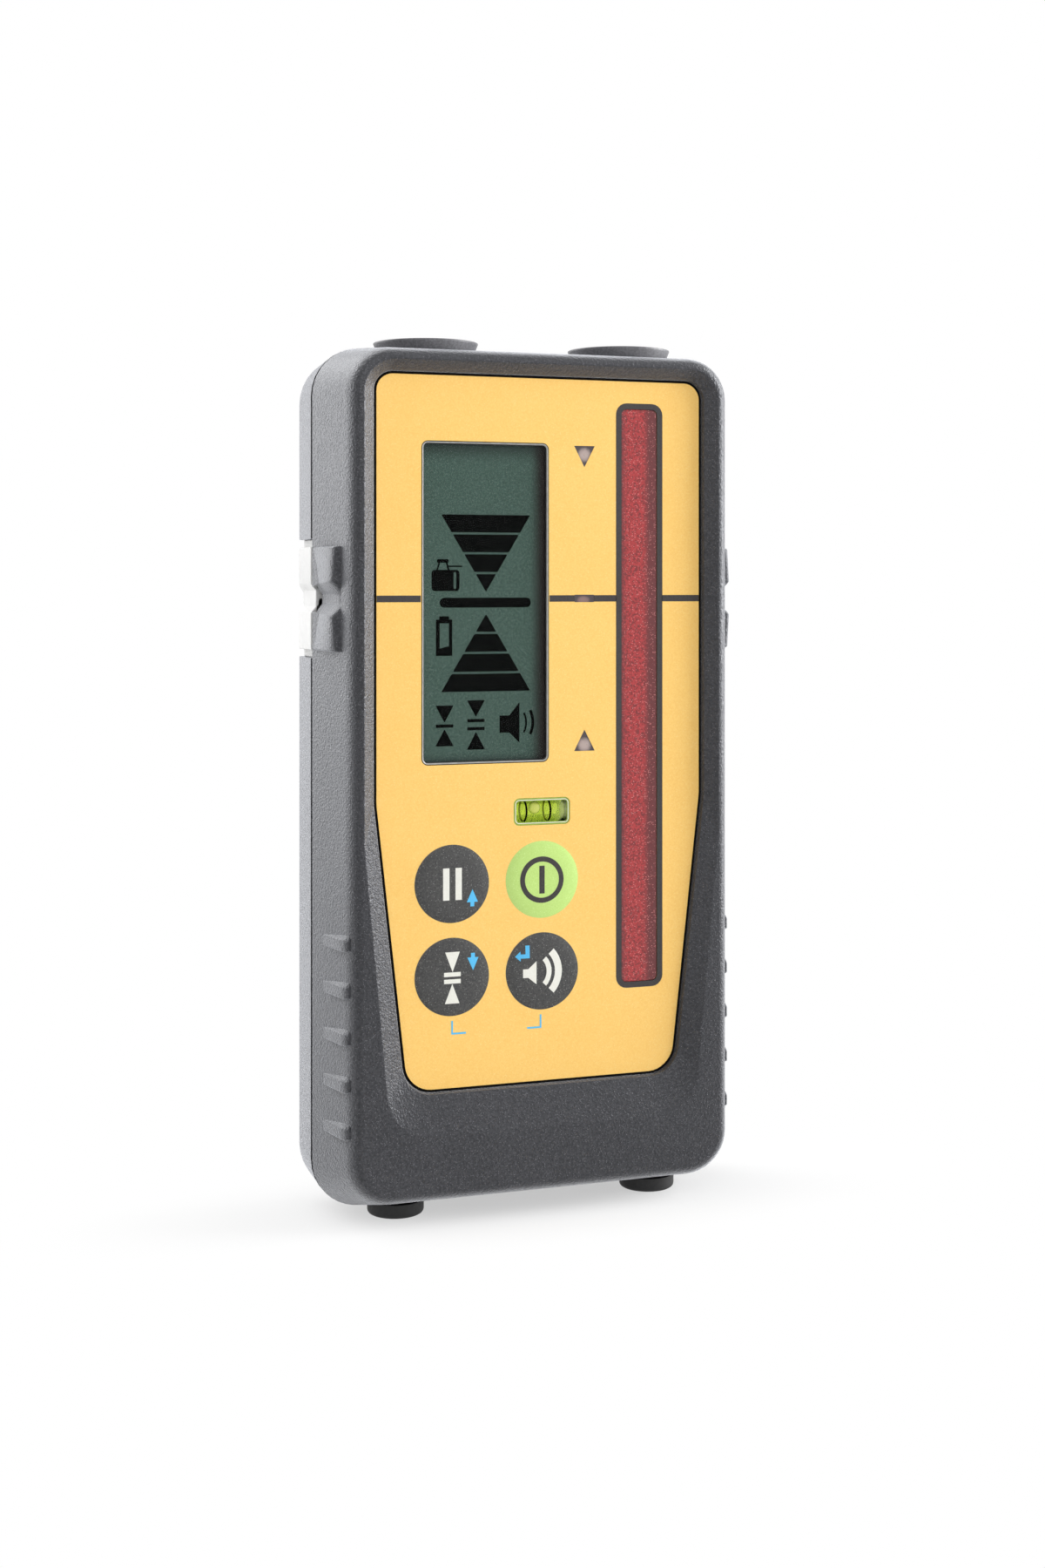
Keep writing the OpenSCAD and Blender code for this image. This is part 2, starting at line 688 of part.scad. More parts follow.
module front_shell() {
    color([0.29, 0.29, 0.30]) difference() {
        union() {
            difference() {
                union() {
                    front_block();
                    both_sides() ribs();
                    both_sides() wing();
                }
                front_hollow();
            }
            at_case_screws() rod(0, 0, cave_y - sheet, front_end - cave_y + sheet, case_boss_d);
            at_board_screws() rod(0, 0, cave_y - sheet, board_space + sheet, board_head_d);
        }
        panel_recess();
        window_cuts(carrier_y - over, carrier_t + 2 * over, seat_gap);
        at_keys() rod(0, 0, carrier_y - over, key_floor_y - carrier_y + over, key_d + 2 * key_gap);
        at_keys() rod(0, 0, carrier_y, carrier_t + over, plunger_d + 2 * plunger_gap);
        at_case_screws() rod(0, 0, cave_y + case_floor, front_end - cave_y, case_screw_d + 2 * seat_gap);
        at_board_screws() rod(0, 0, cave_y, board_space + over, board_screw_d + 2 * seat_gap);
        both_sides() translate([pad_x, stand_y, case_z1 - wall - over])
            cylinder(d = pad_stem_d + 2 * seat_gap, h = wall + 2 * over);
        foot_seats();
    }
}

// Seats of the feet, cut from both shells
module foot_seats() {
    both_sides() translate([foot_x, stand_y, case_z0 - over])
        cylinder(d = foot_d + 2 * seat_gap, h = foot_seat + over);
}

// Outside of the rear shell
module rear_block() {
    hull() {
        plate(case_outline(1, 0), rear_end, sheet);
        for (a = [0:30:90])
            plate(rear_outline(rear_edge_r * (1 - cos(a))),
                  back_y - rear_edge_r * (1 - sin(a)) - sheet, sheet);
    }
}

// Hollow inside the rear shell
module rear_hollow() {
    hull() {
        plate(case_outline(1, wall), rear_end - over, over);
        plate(rear_outline(wall), back_y - rear_edge_r - wall, sheet);
        plate(rear_outline(wall + rear_edge_r / 2), back_y - wall - sheet, sheet);
    }
}

// Pocket for the battery door, its hinge and its screw
module door_pocket() {
    half = door_w / 2 + door_gap;
    block([-half, ledge_y, pin_z - door_t - door_gap], [half, back_y + over, door_z1 + door_gap]);
    both_sides() {
        bar(knuckle_x - door_gap, pin_y, pin_z, knuckle_l + 2 * door_gap, 2 * (door_t + door_gap));
    }
    rod(0, screw_z, ledge_y - screw_l, screw_l + over, screw_d + 2 * screw_room);
    seal_ring(ledge_y - door_seal_h - door_gap, door_seal_h + door_gap + seat_gap, door_gap);
}

// Ring round the bay, grown by grow on both sides
module seal_ring(y, t, grow) {
    middle_z = (bay_z0 + bay_z1) / 2;
    in_w = bay_w + 2 * bay_wall - 2 * grow;
    in_l = bay_l + 2 * bay_wall - 2 * grow;
    out_w = bay_w + 2 * bay_wall + 2 * door_seal_w + 2 * grow;
    out_l = bay_l + 2 * bay_wall + 2 * door_seal_w + 2 * grow;
    difference() {
        plate(window(0, middle_z, out_w, out_l, window_r + door_seal_w), y, t);
        plate(window(0, middle_z, in_w, in_l, window_r), y - over, t + 2 * over);
    }
}

// Knuckles of the rear shell: one in the middle and one at each end of the pin
module case_knuckles() {
    middle = knuckle_x - door_gap;
    outer = knuckle_x + knuckle_l + door_gap;
    bar(-middle, pin_y, pin_z, 2 * middle, 2 * door_t);
    block([-middle, pin_y - door_t, case_z0 + wall], [middle, pin_y, pin_z]);
    both_sides() {
        bar(outer, pin_y, pin_z, door_w / 2 - outer, 2 * door_t);
        block([outer, pin_y - door_t, case_z0 + wall], [door_w / 2, pin_y, pin_z]);
    }
}

// Slot in the rear shell for a white insert, open at the back
module insert_slot() {
    block([case_w / 2 - insert_t, part_y - over, grade_z - insert_slot_h / 2],
          [case_w / 2 + over, back_y + over, grade_z + insert_slot_h / 2]);
}

// Sound slots over the sounder
module sound_slots() {
    slot_pitch = buzzer_d / 4;
    for (i = [-1:1])
        plate(window(buzzer_x + i * slot_pitch, buzzer_z, slot_pitch / 2, buzzer_d * 2 / 3, slot_pitch / 5),
              back_y - wall - over, wall + 2 * over);
}

module rear_shell() {
    color([0.31, 0.31, 0.32]) difference() {
        union() {
            difference() {
                rear_block();
                rear_hollow();
            }
            block([-bay_w / 2 - bay_wall, bay_y - bay_wall, bay_z0 - bay_wall],
                  [bay_w / 2 + bay_wall, ledge_y, bay_z1 + bay_wall]);
            block([-door_w / 2 - wall, ledge_y - ledge_t, pin_z + door_t + door_gap],
                  [door_w / 2 + wall, back_y - sheet, door_z1 + wall]);
            block([-door_w / 2 - wall, pin_y - door_t - door_gap - wall, case_z0 + wall],
                  [door_w / 2 + wall, back_y - wall, pin_z + door_t + door_gap + sheet]);
            rod(0, screw_z, ledge_y - screw_l - wall, screw_l + wall, screw_d + 2 * screw_room + 2 * wall);
            rod(0, clamp_z, back_y - clamp_l - wall, clamp_l + wall - sheet, clamp_boss_d);
            for (side = [-1, 1])
                rod(side * locator_pitch / 2, clamp_z, back_y - locator_depth - wall,
                    locator_depth + wall - sheet, locator_d + 2 * wall);
            at_case_screws() rod(0, 0, rear_end, back_y - rear_end - sheet, case_boss_d + wall);
        }
        difference() {
            door_pocket();
            case_knuckles();
        }
        block([-bay_w / 2, bay_y, bay_z0], [bay_w / 2, back_y + over, bay_z1]);
        bar(-door_w / 2, pin_y, pin_z, door_w, pin_d + 2 * seat_gap);
        rod(0, clamp_z, back_y - clamp_l, clamp_l + over, clamp_insert_d + 2 * seat_gap);
        for (side = [-1, 1])
            rod(side * locator_pitch / 2, clamp_z, back_y - locator_depth, locator_depth + over, locator_d);
        at_case_screws() rod(0, 0, rear_end - over, case_floor + 2 * over, case_screw_d + 4 * seat_gap);
        at_case_screws() rod(0, 0, rear_end + case_floor, back_y - rear_end, case_head_d + 4 * seat_gap);
        both_sides() insert_slot();
        sound_slots();
        foot_seats();
    }
}

module shell_gasket() {
    color([0.05, 0.05, 0.05]) difference() {
        plate(case_outline(1, seal_inset), front_end, seam);
        plate(case_outline(1, seal_inset + seal_w), front_end - over, seam + 2 * over);
        foot_seats();
    }
}

module overlay_film() {
    color([0.98, 0.80, 0.42]) difference() {
        plate(panel_outline(0), film_y, film_t);
        window_cuts(film_y - over, film_t + 2 * over, seat_gap);
        at_keys() rod(0, 0, film_y - over, film_t + 2 * over, key_d + 2 * key_gap);
    }
}

// Round key with a plunger that reaches its snap dome
module key(column, row, tint) {
    plunger_end = dome_y - key_travel - key_gap;
    color(tint) at_key(column, row) {
        rod(0, 0, film_y - key_rise, key_rise + key_t, key_d);
        rod(0, 0, film_y, plunger_end - film_y, plunger_d);
    }
}

module key_pause() {
    key(0, 0, [0.22, 0.23, 0.24]);
}

module key_power() {
    key(1, 0, [0.75, 0.90, 0.52]);
}

module key_mode() {
    key(0, 1, [0.22, 0.23, 0.24]);
}

module key_sound() {
    key(1, 1, [0.22, 0.23, 0.24]);
}

// Lens that fills a window, with a flange behind the carrier wall
module lens(x, z, w, h) {
    plate(window(x, z, w, h, window_r), film_y + lens_sink, cave_y - film_y - lens_sink);
    plate(window(x, z, w + 2 * lens_flange, h + 2 * lens_flange, window_r + lens_flange),
          cave_y, lens_flange_t);
}

module display_lens() {
    color([0.75, 0.80, 0.78, 0.4]) lens(display_x, display_z, display_w, display_h);
}

module display_panel() {
    front = cave_y + lens_flange_t;
    color([0.30, 0.37, 0.35])
        plate(window(display_x, display_z, display_w + lens_flange, display_h + lens_flange, window_r),
              front, board_y - front);
}

module receiver_window() {
    color([0.60, 0.12, 0.14]) lens(red_x, red_z, red_w, red_h);
}

// Lens of a triangular lamp at a height
module lamp_lens(z, side) {
    color([0.75, 0.62, 0.60])
        plate(lamp_outline(z, side, 0), film_y + lens_sink, cave_y - film_y - lens_sink);
}

module led_lens_high() {
    lamp_lens(grade_z + lamp_rise, -1);
}

module led_lens_low() {
    lamp_lens(grade_z - lamp_rise, 1);
}

module led_lens_grade() {
    color([0.75, 0.62, 0.60])
        plate(window(lamp_x, grade_z, lamp_w, grade_lamp_h, grade_lamp_h / 4),
              film_y + lens_sink, cave_y - film_y - lens_sink);
}

module vial_tube() {
    color([0.75, 0.85, 0.20, 0.6]) difference() {
        union() {
            bar(vial_x + window_r - vial_l / 2, vial_y, vial_z, vial_l - 2 * window_r, vial_d);
            for (side = [-1, 1])
                translate([vial_x + side * (vial_l / 2 - window_r), vial_y, vial_z]) rotate([0, side * 90, 0])
                    cylinder(d1 = vial_d, d2 = vial_d - 2 * window_r, h = window_r);
        }
        bar(vial_x - vial_room / 2, vial_y, vial_z, vial_room, vial_d - 2 * vial_wall);
    }
}

// Bubble with round ends, lying along the top of the hollow
module vial_bubble() {
    straight = bubble_l - bubble_d;
    color([0.92, 0.95, 0.70, 0.5]) translate([vial_x + bubble_x, vial_y, vial_z]) {
        bar(-straight / 2, 0, 0, straight, bubble_d);
        for (side = [-1, 1]) translate([side * straight / 2, 0, 0]) sphere(d = bubble_d);
    }
}

// White insert on the right side, flush with the shell, with a notch and a lower tab at each end
module side_insert() {
    in_x = case_w / 2 - insert_t + seat_gap;
    front = rear_end + seat_gap;
    tab_h = insert_slot_h - 2 * seat_gap;
    intersection() {
        plate(insert_outline(in_x, case_w / 2), front, back_y - front);
        linear_extrude(case_z1) polygon(insert_plan(in_x, front, 0));
    }
    translate([0, 0, grade_z - tab_h / 2]) linear_extrude(tab_h)
        polygon(insert_plan(in_x, front, insert_step));
}

module side_insert_right() {
    color([0.95, 0.95, 0.94]) side_insert();
}

module side_insert_left() {
    color([0.95, 0.95, 0.94]) mirror([1, 0, 0]) side_insert();
}

module top_pads() {
    color([0.17, 0.17, 0.18]) both_sides() translate([pad_x, stand_y, case_z1 + seat_gap]) {
        cylinder(d1 = pad_foot_d, d2 = pad_d, h = pad_t * 2 / 3);
        translate([0, 0, pad_t * 2 / 3]) cylinder(d = pad_d, h = pad_t / 3);
        translate([0, 0, -pad_stem_l]) cylinder(d = pad_stem_d, h = pad_stem_l);
    }
}

// Rubber foot with a rounded lower rim
module foot() {
    rotate_extrude() {
        square([foot_d / 2 - foot_round, foot_drop + foot_seat - seat_gap]);
        translate([0, foot_round]) square([foot_d / 2, foot_drop + foot_seat - foot_round - seat_gap]);
        intersection() {
            translate([foot_d / 2 - foot_round, foot_round]) circle(r = foot_round);
            square(foot_d);
        }
    }
}

module feet() {
    color([0.07, 0.07, 0.07]) both_sides() translate([foot_x, stand_y, 0]) foot();
}

module main_board() {
    color([0.10, 0.36, 0.20]) difference() {
        block([board_left, board_y, board_z0], [board_right, board_back, board_z1]);
        at_board_screws() rod(0, 0, board_y - over, board_t + 2 * over, board_screw_d + 2 * seat_gap);
    }
}

module sensor_board() {
    color([0.10, 0.36, 0.20])
        block([red_x - sensor_w / 2, board_y, sensor_z0], [red_x + sensor_w / 2, board_back, sensor_z1]);
}

// Plug that bridges the two boards on their back faces
module board_link() {
    middle_x = (board_right + red_x - sensor_w / 2) / 2;
    color([0.90, 0.88, 0.80])
        block([middle_x - link_w / 2, board_back, grade_z - link_h / 2],
              [middle_x + link_w / 2, board_back + link_t, grade_z + link_h / 2]);
}

module photodiodes() {
    pitch = (red_h - 2 * diode_w) / (diode_count - 1);
    color([0.12, 0.10, 0.14]) for (i = [0:diode_count - 1])
        translate([red_x, 0, red_z + (i - (diode_count - 1) / 2) * pitch])
            block([-diode_w / 2, board_y - chip_t, -diode_w / 2], [diode_w / 2, board_y, diode_w / 2]);
}

module indicator_leds() {
    half = lamp_w / 4;
    color([0.95, 0.90, 0.80]) for (rise = [-lamp_rise, 0, lamp_rise])
        translate([lamp_x, 0, grade_z + rise])
            block([-half, board_y - chip_t, -half], [half, board_y, half]);
}

module switch_domes() {
    color([0.80, 0.80, 0.82]) at_keys()
        translate([0, dome_y, 0]) rotate([-90, 0, 0]) cylinder(d1 = dome_d / 2, d2 = dome_d, h = dome_h);
}

module buzzer() {
    color([0.10, 0.10, 0.10]) rod(buzzer_x, buzzer_z, board_back, buzzer_h, buzzer_d);
}

// Cell with its terminal at the top for way 1 or at the bottom for way -1
module cell(way) {
    can = cell_l - cell_tip;
    translate([0, 0, way * (can - cell_l) / 2 - can / 2]) cylinder(d = cell_d, h = can);
    translate([0, 0, way > 0 ? cell_l / 2 - cell_tip : -cell_l / 2]) cylinder(d = cell_tip_d, h = cell_tip);
}

module battery_cells() {
    middle_z = bay_z0 + spring_l + cell_l / 2;
    color([0.20, 0.22, 0.26]) {
        translate([-cell_x, cell_y, middle_z]) cell(1);
        translate([cell_x, cell_y, middle_z]) cell(-1);
    }
}

module battery_springs() {
    color([0.80, 0.80, 0.78]) for (side = [-1, 1])
        translate([side * cell_x, cell_y, bay_z0])
            cylinder(d1 = spring_d, d2 = cell_tip_d, h = spring_l);
}

module battery_plates() {
    color([0.80, 0.80, 0.78]) for (side = [-1, 1])
        translate([side * cell_x, cell_y, bay_z1 - contact_t])
            translate([-contact_w / 2, -contact_w / 2, 0]) cube([contact_w, contact_w, contact_t]);
}

module battery_door() {
    half = door_w / 2;
    hinge_clear = pin_z + door_t + 2 * door_gap;
    color([0.31, 0.31, 0.32]) difference() {
        union() {
            block([-half, pin_y, hinge_clear], [half, back_y, door_z1]);
            both_sides() {
                bar(knuckle_x, pin_y, pin_z, knuckle_l, 2 * door_t);
                block([knuckle_x, pin_y, pin_z], [knuckle_x + knuckle_l, back_y, hinge_clear + sheet]);
            }
        }
        bar(-half, pin_y, pin_z, door_w, pin_d + 2 * pin_gap);
        rod(0, screw_z, pin_y - over, door_t + 2 * over, screw_d + 2 * pin_gap);
        rod(0, screw_z, back_y - screw_head_t - pin_gap, door_t, screw_head_d + 4 * pin_gap);
    }
}

module door_gasket() {
    color([0.06, 0.06, 0.06]) seal_ring(pin_y - door_seal_h, door_seal_h, 0);
}

module door_screw() {
    head_y = back_y - screw_head_t;
    color([0.75, 0.75, 0.74]) difference() {
        union() {
            rod(0, screw_z, head_y, screw_head_t, screw_head_d);
            rod(0, screw_z, head_y - screw_l, screw_l + sheet, screw_d);
        }
        block([-screw_head_d, back_y - slot_depth, screw_z - slot_w / 2],
              [screw_head_d, back_y + over, screw_z + slot_w / 2]);
    }
}

module hinge_pin() {
    color([0.70, 0.70, 0.70]) bar(-door_w / 2, pin_y, pin_z, door_w, pin_d);
}

module clamp_insert() {
    color([0.78, 0.62, 0.28]) difference() {
        rod(0, clamp_z, back_y - clamp_l, clamp_l, clamp_insert_d);
        rod(0, clamp_z, back_y - clamp_l - over, clamp_l + 2 * over, clamp_d);
    }
}

module case_screws() {
    head_y = rear_end + case_floor;
    color([0.55, 0.55, 0.56]) at_case_screws() difference() {
        union() {
            rod(0, 0, head_y, case_head_t, case_head_d);
            rod(0, 0, cave_y + case_floor + seat_gap, head_y - cave_y - case_floor, case_screw_d);
        }
        rod(0, 0, head_y + case_head_t / 2, case_head_t, case_screw_d);
    }
}

module board_screws() {
    color([0.70, 0.70, 0.70]) at_board_screws() {
        rod(0, 0, board_back, board_head_t, board_head_d);
        rod(0, 0, cave_y + seat_gap, board_back - cave_y, board_screw_d);
    }
}

front_shell();
rear_shell();
shell_gasket();
overlay_film();
key_pause();
key_power();
key_mode();
key_sound();
display_lens();
display_panel();
receiver_window();
led_lens_high();
led_lens_grade();
led_lens_low();
vial_tube();
vial_bubble();
side_insert_left();
side_insert_right();
top_pads();
feet();
main_board();
sensor_board();
board_link();
photodiodes();
indicator_leds();
switch_domes();
buzzer();
battery_cells();
battery_springs();
battery_plates();
battery_door();
door_gasket();
door_screw();
hinge_pin();
clamp_insert();
case_screws();
board_screws();
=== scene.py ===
"""Looks of a handheld laser receiver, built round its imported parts. Sizes are in millimetres."""

import logging
import math
from collections.abc import Iterable, Mapping, Sequence
from dataclasses import astuple, dataclass, field, replace
from enum import Enum
from functools import cached_property

import bmesh
import bpy
from bmesh.types import BMEdge, BMFace, BMVert
from mathutils import Matrix, Vector


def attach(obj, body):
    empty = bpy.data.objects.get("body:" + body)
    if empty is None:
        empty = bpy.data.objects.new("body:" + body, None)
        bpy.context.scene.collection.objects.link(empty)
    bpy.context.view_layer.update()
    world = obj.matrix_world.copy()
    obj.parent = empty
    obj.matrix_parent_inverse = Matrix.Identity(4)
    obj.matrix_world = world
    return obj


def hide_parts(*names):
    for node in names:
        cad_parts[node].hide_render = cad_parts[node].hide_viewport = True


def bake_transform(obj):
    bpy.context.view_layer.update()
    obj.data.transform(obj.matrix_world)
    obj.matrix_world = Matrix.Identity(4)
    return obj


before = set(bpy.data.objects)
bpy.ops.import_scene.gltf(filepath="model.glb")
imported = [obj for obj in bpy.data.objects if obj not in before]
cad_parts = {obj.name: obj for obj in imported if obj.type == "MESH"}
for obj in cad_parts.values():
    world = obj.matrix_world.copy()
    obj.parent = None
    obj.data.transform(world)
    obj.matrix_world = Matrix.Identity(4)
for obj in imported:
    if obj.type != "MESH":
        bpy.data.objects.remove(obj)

LOG = logging.getLogger("receiver")
MM = 0.001
# Points of a CAD node closer than WELD, in metres, are one; faces that turn less than FLAT degrees are one.
WELD = 1e-6
FLAT = 0.5
Spot = tuple[float, float]
Place = tuple[float, float, float]
Colour = tuple[float, float, float, float]
# A corner is its place across, its height and its rounding; a shape is an edge and its openings.
Corner = tuple[float, float, float]
Outline = Sequence[Corner]
Shape = Sequence[Outline]
# Outlines with their depths.
Stations = Sequence[tuple[Outline, float]]
Sockets = Mapping[str | int, object]


class Body(Enum):
    """The moving bodies of the part."""

    CASE = "case"
    PAUSE = "key_pause"
    POWER = "key_power"
    MODE = "key_mode"
    SOUND = "key_sound"
    BUBBLE = "bubble"
    DOOR = "door"
    SCREW = "door_screw"


class Way(Enum):
    """Directions in which an arrow or a cell can point, as signs of the height axis."""

    UP = 1
    DOWN = -1


def paint(*channels: float) -> Colour:
    """Turn a colour as a screen shows it, 0 to 255 a channel, into the linear colour that shaders take."""
    shares = [value / 255 for value in channels]
    return (*(s / 12.92 if s <= 0.04045 else ((s + 0.055) / 1.055) ** 2.4 for s in shares), 1.0)


class Signal:
    """A number that varies over a surface. Arithmetic on it adds Math nodes."""

    def __init__(self, graph: "Graph", socket: bpy.types.NodeSocket) -> None:
        """Wrap an output socket of a graph."""
        self.graph = graph
        self.socket = socket

    def _math(self, operation: str, first: object, second: object) -> "Signal":
        """Add one Math node."""
        return self.graph.signal("ShaderNodeMath", {"operation": operation}, {0: first, 1: second})

    def __add__(self, other: object) -> "Signal":
        """Sum."""
        return self._math("ADD", self, other)

    __radd__ = __add__

    def __sub__(self, other: object) -> "Signal":
        """Difference."""
        return self._math("SUBTRACT", self, other)

    def __rsub__(self, other: object) -> "Signal":
        """Difference from a number."""
        return self._math("SUBTRACT", other, self)

    def __mul__(self, other: object) -> "Signal":
        """Product."""
        return self._math("MULTIPLY", self, other)

    __rmul__ = __mul__

    def step(self, low: float, high: float) -> "Signal":
        """Smooth rise from 0 at low to 1 at high."""
        return self.graph.signal("ShaderNodeMapRange", {"interpolation_type": "SMOOTHSTEP"},
                                 {"Value": self, "From Min": low, "From Max": high})


class Graph:
    """The node tree of one material, or of the world."""

    NOISE_ROUGHNESS = 0.6
    SPARK_EDGE: Spot = (0.42, 0.2)
    SPARK_FULL = 0.6

    def __init__(self, name: str, world: bool = False) -> None:
        """Start an empty tree.

        Args:
            name: name of the material or world.
            world: whether it is a world.
        """
        self.owner = (bpy.data.worlds if world else bpy.data.materials).new(name)
        self.owner.use_nodes = True
        self.tree = self.owner.node_tree
        self.tree.nodes.clear()

    @cached_property
    def spots(self) -> bpy.types.NodeSocket:
        """Object coordinates of the surface, in metres."""
        return self.add("ShaderNodeTexCoord").outputs["Object"]

    def add(self, kind: str, settings: Mapping[str, object] | None = None,
            sockets: Sockets | None = None) -> bpy.types.Node:
        """Add a node.

        Args:
            kind: the node's type.
            settings: the node's own properties, which are set first.
            sockets: values or links of its inputs.

        Returns:
            The node.
        """
        node = self.tree.nodes.new(kind)
        for key, value in (settings or {}).items():
            setattr(node, key, value)
        for key, value in (sockets or {}).items():
            source = value.socket if isinstance(value, Signal) else value
            if isinstance(source, bpy.types.NodeSocket):
                self.tree.links.new(source, node.inputs[key])
            else:
                node.inputs[key].default_value = source
        return node

    def signal(self, kind: str, settings: Mapping[str, object] | None = None,
               sockets: Sockets | None = None, output: str | int = 0) -> Signal:
        """Add a node and wrap one of its outputs."""
        return Signal(self, self.add(kind, settings, sockets).outputs[output])

    def noise(self, scale: float, detail: float = 2.0) -> Signal:
        """Soft noise with that many features to the metre."""
        sockets = {"Vector": self.spots, "Scale": scale, "Detail": detail, "Roughness": self.NOISE_ROUGHNESS}
        return self.signal("ShaderNodeTexNoise", None, sockets, "Fac")

    def specks(self, scale: float, share: float) -> Signal:
        """Small sparks in some cells of a loose grid.

        Args:
            scale: cells to the metre.
            share: share of the cells that hold a spark.

        Returns:
            1 in the middle of a spark, and 0 outside.
        """
        cell = self.add("ShaderNodeTexVoronoi", None, {"Vector": self.spots, "Scale": scale})
        lot = self.signal("ShaderNodeSeparateColor", None, {"Color": cell.outputs["Color"]}, "Red")
        near = Signal(self, cell.outputs["Distance"]).step(*self.SPARK_EDGE)
        return lot.step(1 - share, 1 - share * self.SPARK_FULL) * near

    def axis(self, name: str) -> Signal:
        """A coordinate of the surface in metres."""
        return self.signal("ShaderNodeSeparateXYZ", None, {0: self.spots}, name)

    def ruler(self, name: str, middle: float, half: float) -> Signal:
        """A coordinate that runs from -1 to 1 over a half size on each side of a middle."""
        return (self.axis(name) - middle * MM) * (1 / (half * MM))

    def mix(self, share: Signal, first: object, second: object) -> bpy.types.NodeSocket:
        """Mix two colours, with a share of the second."""
        sockets = {"Factor": share, 6: first, 7: second}
        return self.add("ShaderNodeMix", {"data_type": "RGBA"}, sockets).outputs[2]

    def seen(self) -> Signal:
        """Tell rays that the camera, a mirror or a clear piece sees from those that only carry light.

        Returns:
            1 for a ray that is seen, and 0 for light.
        """
        rays = self.add("ShaderNodeLightPath").outputs
        total = Signal(self, rays["Is Camera Ray"])
        for ray in ("Is Glossy Ray", "Is Transmission Ray"):
            total = self.signal("ShaderNodeMath", {"operation": "ADD", "use_clamp": True},
                                {0: total, 1: rays[ray]})
        return total

    def surface(self, sockets: Sockets, height: Signal, depth: float) -> bpy.types.Material:
        """Close the material with one shader.

        Args:
            sockets: inputs of the shader.
            height: relief of the surface, from 0 to 1.
            depth: height of the relief in millimetres.

        Returns:
            The finished material.
        """
        shader = self.add("ShaderNodeBsdfPrincipled", None, sockets)
        bump = self.add("ShaderNodeBump", None, {"Strength": 1.0, "Distance": depth * MM, "Height": height})
        self.tree.links.new(bump.outputs[0], shader.inputs["Normal"])
        self.add("ShaderNodeOutputMaterial", None, {"Surface": shader.outputs[0]})
        return self.owner


@dataclass(frozen=True)
class Grain:
    """A moulded, printed or plated surface: a colour with fine grain, relief and sparks."""

    name: str
    colour: Colour
    shade: Colour
    grain: float
    cover: float
    roughness: float
    rough_spread: float
    relief: float
    metallic: float = 0.0
    coat: float = 0.0
    alpha: float = 1.0
    spark: Colour | None = None
    spark_share: float = 0.2
    spark_scale: float = 5200.0
    spark_gloss: float = 0.4
    specular: float = 0.5
    sheen: float = 0.0
    sheen_rough: float = 0.4
    glow: float = 0.0
    tint: Colour = (1.0, 1.0, 1.0, 1.0)
    fine_step: Spot = (0.32, 0.68)
    cloud_step: Spot = (0.3, 0.8)
    cloud_size: float = 40.0
    cloud_share: float = 0.25

    def build(self) -> bpy.types.Material:
        """Make the material.

        Returns:
            The material.
        """
        graph = Graph(self.name)
        fine = graph.noise(self.grain)
        cloud = graph.noise(self.grain / self.cloud_size)
        share = (fine.step(*self.fine_step) * self.cover
                 + cloud.step(*self.cloud_step) * (self.cover * self.cloud_share))
        colour = graph.mix(share, self.colour, self.shade)
        rough = self.roughness - self.rough_spread / 2 + fine * self.rough_spread
        if self.spark is not None:
            sparks = graph.specks(self.spark_scale, self.spark_share)
            colour = graph.mix(sparks, colour, self.spark)
            rough = rough - sparks * (self.roughness * self.spark_gloss)
        sockets = {"Base Color": colour, "Roughness": rough, "Metallic": self.metallic,
                   "Coat Weight": self.coat, "Alpha": self.alpha, "Specular IOR Level": self.specular,
                   "Sheen Weight": self.sheen, "Sheen Roughness": self.sheen_rough, "Emission Color": colour,
                   "Emission Strength": self.glow, "Specular Tint": self.tint, "Sheen Tint": self.tint}
        return graph.surface(sockets, fine, self.relief)


@dataclass(frozen=True)
class SpotGlow:
    """Clear piece with a round lighter patch that fades to a darker rim: a lamp's head seen behind its lens,
    or a bubble, whose patch, rim and glow are painted light and shade.
    """

    name: str
    spot: Spot
    reach: Spot
    # head and rim: colours of the patch and of the rim; on a bubble they are painted light and painted shade.
    head: Colour = paint(176, 158, 152)
    rim: Colour = paint(64, 55, 59)
    fade: Spot = (1.2, 0.0)
    alpha: float = 1.0
    glow: float = 0.0
    grain: float = 2600.0
    wobble: float = 0.5
    gloss: Spot = (0.24, 0.1)
    coat: float = 0.3
    relief: float = 0.004

    def build(self) -> bpy.types.Material:
        """Make the material.

        Returns:
            The material.
        """
        graph = Graph(self.name)
        across = graph.ruler("X", self.spot[0], self.reach[0])
        up = graph.ruler("Z", self.spot[1], self.reach[1])
        fine = graph.noise(self.grain)
        away = across * across + up * up + (fine - 0.5) * self.wobble
        colour = graph.mix(away.step(*self.fade), self.rim, self.head)
        rough = self.gloss[0] + fine * self.gloss[1]
        sockets = {"Base Color": colour, "Roughness": rough, "Coat Weight": self.coat, "Alpha": self.alpha,
                   "Emission Color": colour, "Emission Strength": self.glow}
        return graph.surface(sockets, fine, self.relief)


